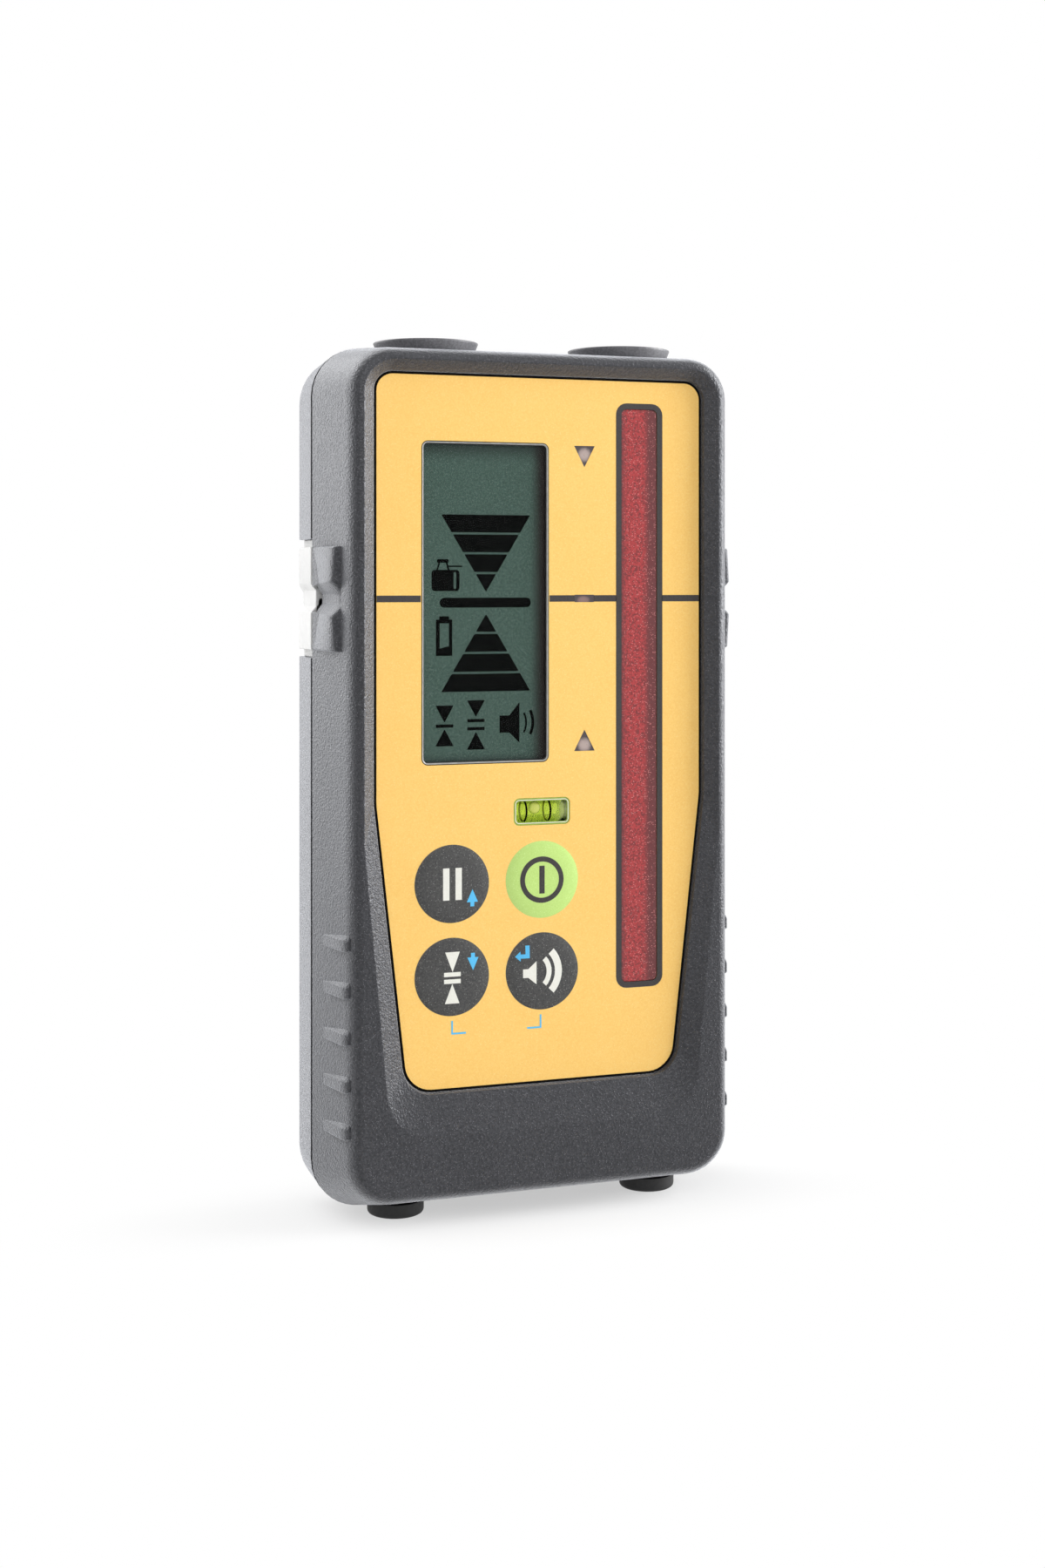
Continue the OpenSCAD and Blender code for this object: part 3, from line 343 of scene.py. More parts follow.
@dataclass(frozen=True)
class VialFluid:
    """Green fluid that glows with painted light, and paler towards its right end."""

    name: str
    pale_span: Spot
    colour: Colour = paint(188, 208, 52)
    shade: Colour = paint(164, 190, 36)
    # clear: the paler colour that the fluid takes towards its right end.
    clear: Colour = paint(226, 232, 178)
    pale_share: float = 0.8
    grain: float = 700.0
    cloud: Spot = (0.35, 0.7)
    cloud_share: float = 0.6
    gloss: Spot = (0.14, 0.05)
    coat: float = 0.5
    alpha: float = 0.24
    # glow: painted light; the fluid glows though it is no lamp.
    glow: float = 0.3
    relief: float = 0.002

    def build(self) -> bpy.types.Material:
        """Make the material.

        Returns:
            The material.
        """
        graph = Graph(self.name)
        fine = graph.noise(self.grain)
        colour = graph.mix(fine.step(*self.cloud) * self.cloud_share, self.colour, self.shade)
        clear = graph.axis("X").step(self.pale_span[0] * MM, self.pale_span[1] * MM)
        colour = graph.mix(clear * self.pale_share, colour, self.clear)
        rough = self.gloss[0] + fine * self.gloss[1]
        sockets = {"Base Color": colour, "Roughness": rough, "Coat Weight": self.coat, "Alpha": self.alpha,
                   "Emission Color": colour, "Emission Strength": self.glow}
        return graph.surface(sockets, fine, self.relief)


@dataclass(frozen=True)
class RedFilter:
    """Deep red filter with glitter in it, darker towards its right side."""

    name: str
    middle: float
    half: float
    colour: Colour = paint(170, 42, 45)
    right: Colour = paint(92, 26, 29)
    right_step: Spot = (0.14, 0.62)
    fleck: Colour = paint(96, 14, 20)
    fleck_step: Spot = (0.44, 0.62)
    fleck_share: float = 0.85
    spark: Colour = paint(232, 146, 142)
    spark_lot: Spot = (4600, 0.34)
    spark_share: float = 0.9
    edge: Colour = paint(88, 26, 30)
    edge_steps: tuple[Spot, Spot] = ((-0.62, -0.95), (0.9, 1.0))
    edge_share: float = 0.55
    grain: float = 3000.0
    gloss: Spot = (0.32, 0.12)
    coat: float = 0.4
    coat_rough: float = 0.08
    relief: float = 0.006

    def build(self) -> bpy.types.Material:
        """Make the material.

        Returns:
            The material.
        """
        graph = Graph(self.name)
        across = graph.ruler("X", self.middle, self.half)
        fine = graph.noise(self.grain)
        colour = graph.mix(across.step(*self.right_step), self.colour, self.right)
        colour = graph.mix(fine.step(*self.fleck_step) * self.fleck_share, colour, self.fleck)
        colour = graph.mix(graph.specks(*self.spark_lot) * self.spark_share, colour, self.spark)
        left, right = (across.step(*step) for step in self.edge_steps)
        colour = graph.mix((left + right) * self.edge_share, colour, self.edge)
        sockets = {"Base Color": colour, "Roughness": self.gloss[0] + fine * self.gloss[1],
                   "Coat Weight": self.coat, "Coat Roughness": self.coat_rough}
        return graph.surface(sockets, fine, self.relief)


@dataclass(frozen=True)
class DisplayGlass:
    """Grey-green liquid crystal face, with painted shade of its frame's inner walls at its top, its foot and
    its right side.
    """

    name: str
    middle: Spot
    half: Spot
    colour: Colour = paint(58, 79, 71)
    light: Colour = paint(76, 99, 90)
    light_step: Spot = (0.38, 0.64)
    light_share: float = 0.8
    spark: Colour = paint(112, 134, 126)
    spark_lot: Spot = (4200, 0.25)
    spark_share: float = 0.6
    # ends: painted shade of the frame's walls, towards the top and the foot.
    ends: Colour = paint(34, 44, 42)
    top: Spot = (0.86, 0.985)
    top_shade_share: float = 0.75
    foot: Spot = (-0.93, -0.995)
    foot_shade_share: float = 0.5
    # side: painted shade of the frame's right wall.
    side: Colour = paint(34, 28, 26)
    right_shade_step: Spot = (0.72, 0.96)
    grain: float = 2600.0
    detail: float = 3.0
    gloss: Spot = (0.38, 0.1)
    specular: float = 0.2
    relief: float = 0.004

    def build(self) -> bpy.types.Material:
        """Make the material.

        Returns:
            The material.
        """
        graph = Graph(self.name)
        across = graph.ruler("X", self.middle[0], self.half[0])
        up = graph.ruler("Z", self.middle[1], self.half[1])
        fine = graph.noise(self.grain, self.detail)
        colour = graph.mix(fine.step(*self.light_step) * self.light_share, self.colour, self.light)
        colour = graph.mix(graph.specks(*self.spark_lot) * self.spark_share, colour, self.spark)
        # Painted shade of the frame's walls at the top, the foot and the right side.
        ends = up.step(*self.top) * self.top_shade_share + up.step(*self.foot) * self.foot_shade_share
        colour = graph.mix(ends, colour, self.ends)
        colour = graph.mix(across.step(*self.right_shade_step), colour, self.side)
        sockets = {"Base Color": colour, "Roughness": self.gloss[0] + fine * self.gloss[1],
                   "Specular IOR Level": self.specular}
        return graph.surface(sockets, fine, self.relief)


Finish = Grain | SpotGlow | VialFluid | RedFilter | DisplayGlass
_MADE: dict[str, bpy.types.Material] = {}


def material_of(finish: Finish) -> bpy.types.Material:
    """Look up the material of a finish, which is made once.

    Args:
        finish: the finish.

    Returns:
        Its material.
    """
    if finish.name not in _MADE:
        _MADE[finish.name] = finish.build()
    return _MADE[finish.name]


# Its tint makes reflections and sheen slightly blue: a painted colour of the light.
CASE_PLASTIC = Grain("case_spark_plastic", paint(58, 58, 61), paint(24, 24, 27), 2400, 0.9, 0.3, 0.36, 0.14,
                     spark=paint(116, 116, 121), spark_share=0.22, specular=0.46, sheen=1.0,
                     tint=(0.92, 0.94, 1.0, 1.0))
REAR_PLASTIC = replace(CASE_PLASTIC, name="rear_spark_plastic")
FILM = Grain("panel_yellow_film", paint(252, 208, 120), paint(246, 196, 104), 4200, 0.7, 0.55, 0.1, 0.006,
             spark=paint(254, 222, 152), specular=0.3)
KEY_DARK = Grain("key_charcoal_film", paint(78, 78, 77), paint(54, 54, 55), 3200, 0.8, 0.5, 0.14, 0.01,
                 spark=paint(124, 124, 122), spark_share=0.24, spark_scale=4200, specular=0.35)
KEY_GREEN = Grain("key_green_film", paint(194, 226, 132), paint(182, 216, 116), 4200, 0.6, 0.5, 0.1, 0.008,
                  spark=paint(212, 238, 160), spark_share=0.16, specular=0.3)
INK_CHARCOAL = Grain("ink_charcoal", paint(64, 60, 60), paint(48, 46, 46), 4200, 0.6, 0.55, 0.1, 0.004,
                     specular=0.3)
INK_BLACK = Grain("ink_black", paint(6, 6, 6), paint(3, 3, 3), 3000, 0.5, 0.7, 0.1, 0.003, specular=0.0)
INK_WHITE = Grain("ink_white", paint(236, 236, 228), paint(226, 226, 216), 4200, 0.5, 0.55, 0.1, 0.004,
                  specular=0.3)
INK_BLUE = replace(INK_WHITE, name="ink_light_blue", colour=paint(92, 190, 238), shade=paint(80, 178, 230))
SEAL_BLACK = Grain("seal_black", paint(12, 12, 12), paint(7, 7, 7), 1500, 0.5, 0.8, 0.1, 0.01, specular=0.05)
PAD_RUBBER = Grain("pad_rubber", paint(122, 122, 126), paint(88, 88, 92), 2600, 0.7, 0.4, 0.14, 0.02)
FOOT_RUBBER = Grain("foot_rubber", paint(26, 26, 27), paint(18, 18, 19), 1500, 0.6, 0.6, 0.14, 0.02)
WHITE_PLASTIC = Grain("insert_white_plastic", paint(230, 230, 229), paint(222, 222, 221), 900, 0.5, 0.4, 0.1,
                      0.006, specular=0.15)
# Light grey rim on the clear lens's bevel; its brightness is a painted glint.
BEVEL_GLINT = Grain("display_rim_painted_glint", paint(176, 176, 172), paint(140, 140, 136), 1200, 0.5, 0.3, 0.1,
                   0.003, metallic=0.3)
DARK_WALL = Grain("display_dark_wall", paint(30, 26, 25), paint(22, 19, 18), 1500, 0.5, 0.5, 0.1, 0.004)
COVER = Grain("display_clear_cover", paint(60, 66, 64), paint(52, 58, 56), 900, 0.3, 0.12, 0.04, 0.001,
              alpha=0.03)
LAMP = Grain("lamp_milky_body", paint(214, 206, 200), paint(198, 188, 182), 2600, 0.7, 0.25, 0.1, 0.01,
             coat=0.4)
LAMP_GRADE_HEAD = paint(132, 106, 103)
FLUID = VialFluid("vial_green_fluid_painted_glow", (3.1, 4.2))
# The vial's bed glows with painted light behind the fluid.
VIAL_BED_GLOW = Grain("vial_bed_painted_glow", paint(206, 222, 84), paint(186, 206, 62), 900, 0.5, 0.35, 0.1, 0.003, glow=0.95)
VIAL_RING = Grain("vial_window_ring", paint(164, 188, 78), paint(136, 162, 58), 900, 0.6, 0.2, 0.06, 0.002,
                  coat=0.5)
# The ridge round the vial's window is painted near white: a painted glint on its clear edge.
VIAL_GLINT = Grain("vial_ridge_painted_glint", paint(248, 249, 240), paint(240, 242, 228), 900, 0.4, 0.1, 0.04, 0.001,
                   coat=0.5, alpha=0.95)
VIAL_END = Grain("vial_clear_end", paint(226, 232, 190), paint(186, 200, 120), 1500, 0.9, 0.1, 0.04, 0.002,
                 coat=0.5, alpha=0.6)
STEEL = Grain("plated_steel", paint(186, 186, 184), paint(160, 160, 158), 1400, 0.5, 0.3, 0.14, 0.004,
              metallic=1.0)
BRASS = replace(STEEL, name="turned_brass", colour=paint(206, 170, 96), shade=paint(184, 146, 76))
BOARD = Grain("board_green_mask", paint(24, 92, 54), paint(18, 76, 44), 800, 0.6, 0.35, 0.1, 0.006, coat=0.3)
PLUG = Grain("plug_cream", paint(224, 218, 196), paint(212, 206, 182), 900, 0.5, 0.45, 0.1, 0.004)
CHIP = Grain("chip_black", paint(30, 30, 33), paint(22, 22, 25), 1200, 0.5, 0.35, 0.1, 0.004, coat=0.2)
CELL_JACKET = Grain("cell_jacket", paint(52, 62, 78), paint(44, 54, 70), 900, 0.5, 0.3, 0.1, 0.003,
                    metallic=0.5)
CELL_BAND = replace(CELL_JACKET, name="cell_band", colour=paint(196, 150, 74), shade=paint(180, 134, 62),
                    metallic=0.7)


def rounded(corners: Outline, steps: int) -> list[Vector]:
    """Round the corners of an outline with vertex bevels.

    Args:
        corners: across, height and radius of each corner.
        steps: segments of each rounding.

    Returns:
        The points of the closed outline, in the plane of the panel.
    """
    flat = bmesh.new()
    verts = [flat.verts.new((x, 0, z)) for x, z, _ in corners]
    flat.faces.new(verts)
    for i, vert in enumerate(verts):
        here = Vector(corners[i][:2])
        before = Vector(corners[i - 1][:2]) - here
        after = Vector(corners[(i + 1) % len(corners)][:2]) - here
        if corners[i][2] > 0:
            reach = corners[i][2] / math.tan(before.angle(after) / 2)
            bmesh.ops.bevel(flat, geom=[vert], offset=reach, offset_type="OFFSET", segments=steps,
                            profile=0.5, affect="VERTICES", material=-1, clamp_overlap=False)
    flat.faces.ensure_lookup_table()
    points = [vert.co.copy() for vert in flat.faces[0].verts]
    flat.free()
    return points


def span(x0: float, x1: float, z0: float, z1: float, r: float = 0.0) -> list[Corner]:
    """Rectangle between two corners, with rounded corners."""
    return [(x0, z0, r), (x1, z0, r), (x1, z1, r), (x0, z1, r)]


def window(x: float, z: float, w: float, h: float, r: float = 0.0) -> list[Corner]:
    """Rectangle about a middle, with rounded corners."""
    return span(x - w / 2, x + w / 2, z - h / 2, z + h / 2, r)


def arrowhead(x: float, base: float, half: float, tip: float, r: float = 0.0) -> list[Corner]:
    """Triangle with its base at one height and its tip at another."""
    return [(x - half, base, r), (x + half, base, r), (x, tip, r)]


def circle(x: float, z: float, r: float, steps: int = 48) -> list[Corner]:
    """Circle about a middle."""
    turns = [math.tau * i / steps for i in range(steps)]
    return [(x + r * math.cos(a), z + r * math.sin(a), 0.0) for a in turns]


def tapered(halves: Spot, heights: Place, radii: Place) -> list[Corner]:
    """Upright panel whose lower part draws in.

    Args:
        halves: half widths at its foot and above the bend.
        heights: heights of its foot, of the bend and of its head.
        radii: roundings at its foot, at the bend and at its head.

    Returns:
        Its outline.
    """
    (foot, wide), (z0, bend, z1), (foot_r, bend_r, head_r) = halves, heights, radii
    return [(-foot, z0, foot_r), (foot, z0, foot_r), (wide, bend, bend_r), (wide, z1, head_r),
            (-wide, z1, head_r), (-wide, bend, bend_r)]


def moved(corners: Iterable[Corner], dx: float, dz: float) -> list[Corner]:
    """An outline carried to another place."""
    return [(x + dx, z + dz, r) for x, z, r in corners]


def arc_band(x: float, z: float, radius: float, width: float, spread: float, steps: int = 10) -> list[Corner]:
    """Band along an arc that opens to the right, such as a sound wave.

    Args:
        x: place across of the arc's middle point.
        z: height of the arc's middle point.
        radius: radius of the band's middle line.
        width: width of the band.
        spread: degrees that the band reaches up and down.
        steps: segments of the arc.

    Returns:
        The band's outline.
    """
    turns = [math.radians(spread * (2 * i / steps - 1)) for i in range(steps + 1)]
    outer, inner = ([(x + r * math.cos(a), z + r * math.sin(a), 0.0) for a in turns]
                    for r in (radius + width / 2, radius - width / 2))
    return outer + inner[::-1]


class Former:
    """A mesh under work, with a mould maker's operations in millimetres."""

    DOUBLES = 1e-7

    def __init__(self) -> None:
        """Start with nothing."""
        self.bm = bmesh.new()

    def loop(self, corners: Outline, y: float, steps: int = 8) -> list[BMEdge]:
        """Draw a closed outline at a depth, with steps to each rounding, and return its edges."""
        verts = [self.bm.verts.new((p.x * MM, y * MM, p.z * MM)) for p in rounded(corners, steps)]
        return [self.bm.edges.new(pair) for pair in zip(verts, verts[1:] + verts[:1])]

    def skin(self, loops: Sequence[list[BMEdge]]) -> None:
        """Bridge each outline to the next."""
        for first, second in zip(loops, loops[1:]):
            bmesh.ops.bridge_loops(self.bm, edges=[*first, *second])

    def cap(self, loop: list[BMEdge]) -> None:
        """Close an outline with a face."""
        bmesh.ops.edgeloop_fill(self.bm, edges=loop)

    def fill(self, edges: list[BMEdge]) -> list[BMFace]:
        """Fill a flat outline up to its openings, and return the faces."""
        made = bmesh.ops.triangle_fill(self.bm, use_beauty=True, use_dissolve=False, edges=edges)
        return [item for item in made["geom"] if isinstance(item, BMFace)]

    def thicken(self, faces: list[BMFace], thick: float) -> None:
        """Make flat faces a plate.

        Args:
            faces: the faces.
            thick: thickness towards the back.
        """
        grown = bmesh.ops.extrude_face_region(self.bm, geom=faces)
        verts = [item for item in grown["geom"] if isinstance(item, BMVert)]
        bmesh.ops.translate(self.bm, verts=verts, vec=(0, thick * MM, 0))

    def loft(self, stations: Stations, steps: int = 8) -> "Former":
        """Add a closed solid through outlines at several depths.

        Args:
            stations: the outlines and their depths.
            steps: segments of each rounding.

        Returns:
            This shape.
        """
        loops = [self.loop(corners, y, steps) for corners, y in stations]
        self.skin(loops)
        self.cap(loops[0])
        self.cap(loops[-1])
        return self

    def hoop(self, stations: Stations) -> "Former":
        """Add a closed ring whose section runs through outlines at several depths.

        Args:
            stations: the outlines and their depths.

        Returns:
            This shape.
        """
        loops = [self.loop(corners, y) for corners, y in stations]
        self.skin([*loops, loops[0]])
        return self

    def sheet(self, shape: Shape, y: float, thick: float, steps: int = 8) -> "Former":
        """Add a plate with holes.

        Args:
            shape: its edge and its openings.
            y: depth of its face.
            thick: its thickness towards the back.
            steps: segments of each rounding.

        Returns:
            This shape.
        """
        edges = [edge for corners in shape for edge in self.loop(corners, y, steps)]
        self.thicken(self.fill(edges), thick)
        return self

    def lathe(self, profile: Sequence[Spot], centre: Place, axis: Place, steps: int = 48) -> "Former":
        """Add a turned solid.

        Args:
            profile: radius and distance along the axis, from pole to pole or round a closed ring.
            centre: where the distances start.
            axis: the axis.
            steps: segments of the turn.

        Returns:
            This shape.
        """
        way = Vector(axis).normalized()
        side = way.orthogonal().normalized()
        verts = [self.bm.verts.new((Vector(centre) + side * r + way * h) * MM) for r, h in profile]
        edges = [self.bm.edges.new(pair) for pair in zip(verts, verts[1:])]
        bmesh.ops.spin(self.bm, geom=[*verts, *edges], cent=Vector(centre) * MM, axis=way, angle=math.tau,
                       steps=steps, use_merge=True)
        bmesh.ops.remove_doubles(self.bm, verts=self.bm.verts[:], dist=self.DOUBLES)
        return self

    def soften(self, edges: list[BMEdge], width: float, segments: int) -> None:
        """Round some edges."""
        bmesh.ops.bevel(self.bm, geom=edges, offset=width * MM, offset_type="OFFSET", segments=segments,
                        profile=0.5, affect="EDGES", material=-1, clamp_overlap=True)

    def turn(self, degrees: float, axis: str, shift: Place = (0, 0, 0)) -> "Former":
        """Turn the whole shape about an axis through the origin, then move it.

        Args:
            degrees: the angle.
            axis: X, Y or Z.
            shift: the move.

        Returns:
            This shape.
        """
        bmesh.ops.rotate(self.bm, verts=self.bm.verts[:], cent=(0, 0, 0),
                         matrix=Matrix.Rotation(math.radians(degrees), 3, axis))
        bmesh.ops.translate(self.bm, verts=self.bm.verts[:], vec=Vector(shift) * MM)
        return self

    def twin(self) -> "Former":
        """Add the mirror image across the middle of the case.

        Returns:
            This shape.
        """
        whole = [*self.bm.verts, *self.bm.edges, *self.bm.faces]
        bmesh.ops.mirror(self.bm, geom=whole, axis="X", merge_dist=-1.0)
        return self

    def join(self, other: "Former") -> None:
        """Take over another shape's mesh.

        Args:
            other: the shape, which is used up.
        """
        spare = bpy.data.meshes.new("spare")
        other.even()
        other.bm.to_mesh(spare)
        self.bm.from_mesh(spare)
        bpy.data.meshes.remove(spare)
        other.bm.free()

    def even(self) -> None:
        """Point all faces outwards."""
        bmesh.ops.recalc_face_normals(self.bm, faces=self.bm.faces[:])

    def mesh(self, name: str) -> bpy.types.Mesh:
        """Finish as a mesh, and warn of open edges.

        Args:
            name: the mesh's name.

        Returns:
            The mesh.
        """
        self.even()
        loose = sum(not edge.is_manifold for edge in self.bm.edges)
        if loose:
            LOG.warning("%s has %d open edges", name, loose)
        mesh = bpy.data.meshes.new(name)
        self.bm.to_mesh(mesh)
        self.bm.free()
        return mesh


def shade(obj: bpy.types.Object, angle: float, turned: bool) -> None:
    """Shade a piece smoothly with crisp edges.

    Args:
        obj: the piece.
        angle: edges that turn more than this stay crisp.
        turned: the piece is curved in fine steps; otherwise its flat faces stay flat.
    """
    mesh = obj.data
    mesh.polygons.foreach_set("use_smooth", [True] * len(mesh.polygons))
    mesh.set_sharp_from_angle(angle=math.radians(angle))
    if not turned:
        obj.modifiers.new("even_shading", "WEIGHTED_NORMAL").keep_sharp = True


def carve(obj: bpy.types.Object, tool: Former) -> None:
    """Cut a shape out of a piece.

    Args:
        obj: the piece, whose mesh is replaced.
        tool: the shape, which is used up.
    """
    cutter = bpy.data.objects.new("cutter", tool.mesh("cutter"))
    bpy.context.scene.collection.objects.link(cutter)
    cut = obj.modifiers.new("cut", "BOOLEAN")
    cut.operation, cut.solver, cut.use_self, cut.object = "DIFFERENCE", "EXACT", True, cutter
    bpy.context.view_layer.update()
    made = obj.evaluated_get(bpy.context.evaluated_depsgraph_get())
    mesh = bpy.data.meshes.new_from_object(made)
    obj.modifiers.clear()
    old, obj.data, spare = obj.data, mesh, cutter.data
    bpy.data.objects.remove(cutter)
    for unused in (old, spare):
        bpy.data.meshes.remove(unused)


def place(name: str, former: Former, finish: Finish, body: Body | None = Body.CASE,
          replaces: Sequence[str] = (), tool: Former | None = None, angle: float = 35.0,
          turned: bool = False) -> bpy.types.Object:
    """Turn a shape into a dressed piece on its body.

    Args:
        name: the piece's name.
        former: its shape.
        finish: its finish.
        body: the body that it rides, or None where it rides none.
        replaces: CAD nodes that it stands for.
        tool: a shape to cut out of it.
        angle: edges that turn more than this stay crisp.
        turned: the piece is curved in fine steps.

    Returns:
        The piece.
    """
    obj = bpy.data.objects.new(name, former.mesh(name))
    bpy.context.scene.collection.objects.link(obj)
    if tool is not None:
        carve(obj, tool)
        obj.data.name = name
    obj.data.materials.clear()
    obj.data.materials.append(material_of(finish))
    shade(obj, angle, turned)
    if body is not None:
        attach(obj, body.value)
    if replaces:
        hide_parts(*replaces)
    LOG.info("%s: %d faces", name, len(obj.data.polygons))
    return obj


def soften_edges(obj: bpy.types.Object, soft: float, angle: float = 40.0) -> None:
    """Round the crisp edges of a finished piece.

    Args:
        obj: the piece.
        soft: width of the rounding.
        angle: edges that turn more than this are crisp.
    """
    bevel = obj.modifiers.new("soft_edges", "BEVEL")
    bevel.width, bevel.segments = soft * MM, 2
    bevel.limit_method, bevel.angle_limit = "ANGLE", math.radians(angle)
    bevel.harden_normals = False
    obj.modifiers.move(len(obj.modifiers) - 1, 0)


def from_node(node: str, name: str, finish: Finish, body: Body, soft: float = 0.0,
              tool: Former | None = None) -> None:
    """Make a piece that keeps a CAD node's shape, with its triangles merged and its edges softened.

    Args:
        node: the CAD node.
        name: the piece's name.
        finish: its finish.
        body: the body that it rides.
        soft: rounding of its crisp edges.
        tool: shape cut out of it.
    """
    former = Former()
    former.bm.from_mesh(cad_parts[node].data)
    bmesh.ops.remove_doubles(former.bm, verts=former.bm.verts[:], dist=WELD)
    bmesh.ops.dissolve_limit(former.bm, angle_limit=math.radians(FLAT), use_dissolve_boundaries=False,
                             verts=former.bm.verts[:], edges=former.bm.edges[:])
    obj = place(name, former, finish, body, [node], tool)
    if soft > 0:
        soften_edges(obj, soft)


@dataclass(frozen=True)
class CaseShape:
    """Outlines and depths that the whole case shares."""

    half_w: float = 38.1
    low: float = 1.1
    top: float = 150.7
    rim_y: float = -13.0
    back_y: float = 13.0
    part_y: float = 2.0
    seam_y: float = 1.25
    side_taper: float = 3.2
    top_taper: float = 1.0
    low_taper: float = 3.3
    corner_r: float = 8.6
    rim_r: float = 7.4
    edge_r: float = 1.5
    edge_l: float = 3.35
    edge_in: float = 1.7
    rear_edge_r: float = 2.6
    wall: float = 2.0
    film_y: float = -10.6
    film_t: float = 0.5
    carrier_y: float = -10.1
    cave_y: float = -8.5
    panel_half: float = 29.95
    panel_foot: float = 24.4
    panel_low: float = 23.1
    panel_bend: float = 72.1
    panel_top: float = 145.3
    panel_r: float = 2.9
    panel_foot_r: float = 4.7
    crest_halves: Spot = (28.05, 32.7)
    crest_heights: Place = (15.65, 65.1, 147.65)
    crest_radii: Place = (7.9, 9.4, 5.65)
    film_gap: float = 0.45
    grade_z: float = 107.0

    def outline(self, share: float, inset: float) -> list[Corner]:
        """The case at one depth.

        Args:
            share: share of the way from the front edge to the parting line.
            inset: how far the outline is drawn in.

        Returns:
            The outline.
        """
        back = 1 - share
        hw = self.half_w - self.side_taper * back - inset
        z0 = self.low + self.low_taper * back + inset
        z1 = self.top - self.top_taper * back - inset
        return span(-hw, hw, z0, z1, self.rim_r + (self.corner_r - self.rim_r) * share - inset)

    def share(self, y: float) -> float:
        """Share of the way from the front edge to the parting line."""
        start = self.rim_y + self.edge_r
        return (y - start) / (self.part_y - start)

    def side_x(self, y: float) -> float:
        """Half width of the front shell at a depth."""
        return self.half_w - self.side_taper * (1 - self.share(y))

    def soft_edge(self, steps: int) -> list[tuple[list[Corner], float]]:
        """The softened front edge, from the side round to the rim.

        Args:
            steps: segments of the curve.

        Returns:
            Outlines and their depths.
        """
        side, rim = self.share(self.rim_y + self.edge_l), self.share(self.rim_y)
        stations = []
        for i in range(steps + 1):
            t = i / steps
            stay, bend, end = (1 - t) ** 2, 2 * t * (1 - t), t ** 2
            corners = self.outline(stay * side + (bend + end) * rim, end * self.edge_in)
            stations.append((corners, self.rim_y + stay * self.edge_l))
        return stations

    def panel(self, grow: float) -> list[Corner]:
        """The film panel, grown by grow."""
        return tapered((self.panel_foot + grow, self.panel_half + grow),
                       (self.panel_low - grow, self.panel_bend, self.panel_top + grow),
                       (self.panel_foot_r + grow, 2 * self.panel_foot_r, self.panel_r + grow))

    def crest(self) -> list[Corner]:
        """The crest of the bevel round the panel."""
        return tapered(self.crest_halves, self.crest_heights, self.crest_radii)


CASE = CaseShape()


@dataclass(frozen=True)
class Opening:
    """A rectangular opening of the panel, from its middle and its size."""

    x: float
    z: float
    w: float
    h: float
    r: float = 1.0
    least_r: float = 0.4

    def grown(self, grow: float = 0.0) -> list[Corner]:
        """Its outline, grown by grow."""
        return window(self.x, self.z, self.w + 2 * grow, self.h + 2 * grow, max(self.r + grow, self.least_r))

    def ends(self, grow: float) -> Spot:
        """Places across of its left and right side, grown by grow."""
        return self.x - self.w / 2 - grow, self.x + self.w / 2 + grow


@dataclass(frozen=True)
class Windows:
    """Openings of the panel, shared by the film, the case and what fills them."""

    display: Opening = Opening(-10.35, 106.3, 22.9, 55.2)
    red: Opening = Opening(18.4, 89.8, 6.9, 101.3)
    vial: Opening = Opening(0.0, 69.95, 10.4, 4.65)
    lamp_x: float = 7.95
    lamp_rise: float = 24.9
    lamp_half: float = 1.85
    lamp_h: float = 3.6
    bar_h: float = 1.2
    bar_r: float = 0.2

    def lamp(self, way: Way, grow: float) -> list[Corner]:
        """A triangular lamp opening; the upper one points down and the lower one up.

        Args:
            way: where it points.
            grow: how far its outline is grown.

        Returns:
            The outline.
        """
        z = CASE.grade_z - way.value * self.lamp_rise
        return arrowhead(self.lamp_x, z - way.value * (self.lamp_h / 2 + grow), self.lamp_half + 2 * grow,
                         z + way.value * (self.lamp_h / 2 + 2 * grow))

    def grade_lamp(self, grow: float) -> list[Corner]:
        """The small lamp opening in the on-grade line."""
        return window(self.lamp_x, CASE.grade_z, 2 * (self.lamp_half + grow), self.bar_h + 2 * grow,
                      self.bar_r)

    def all(self, grow: float) -> list[list[Corner]]:
        """Every opening."""
        return [self.display.grown(grow), self.red.grown(grow), self.vial.grown(grow),
                self.lamp(Way.DOWN, grow), self.lamp(Way.UP, grow), self.grade_lamp(grow)]


WINDOWS = Windows()
KEY_SPOTS: dict[Body, Spot] = {Body.PAUSE: (-16.5, 58.1), Body.POWER: (0.0, 58.1), Body.MODE: (-16.5, 42.15),
                               Body.SOUND: (0.0, 42.15)}


@dataclass(frozen=True)
class WingEnd:
    """Front view of a wing at one depth: places across the case, and half heights of its notch."""

    in_x: float
    end_x: float
    shoulder_x: float
    floor_x: float
    shoulder: float
    floor: float

    def towards(self, other: "WingEnd", share: float) -> "WingEnd":
        """The view at a share of the way to another depth."""
        pairs = zip(astuple(self), astuple(other))
        return WingEnd(*(here + (there - here) * share for here, there in pairs))


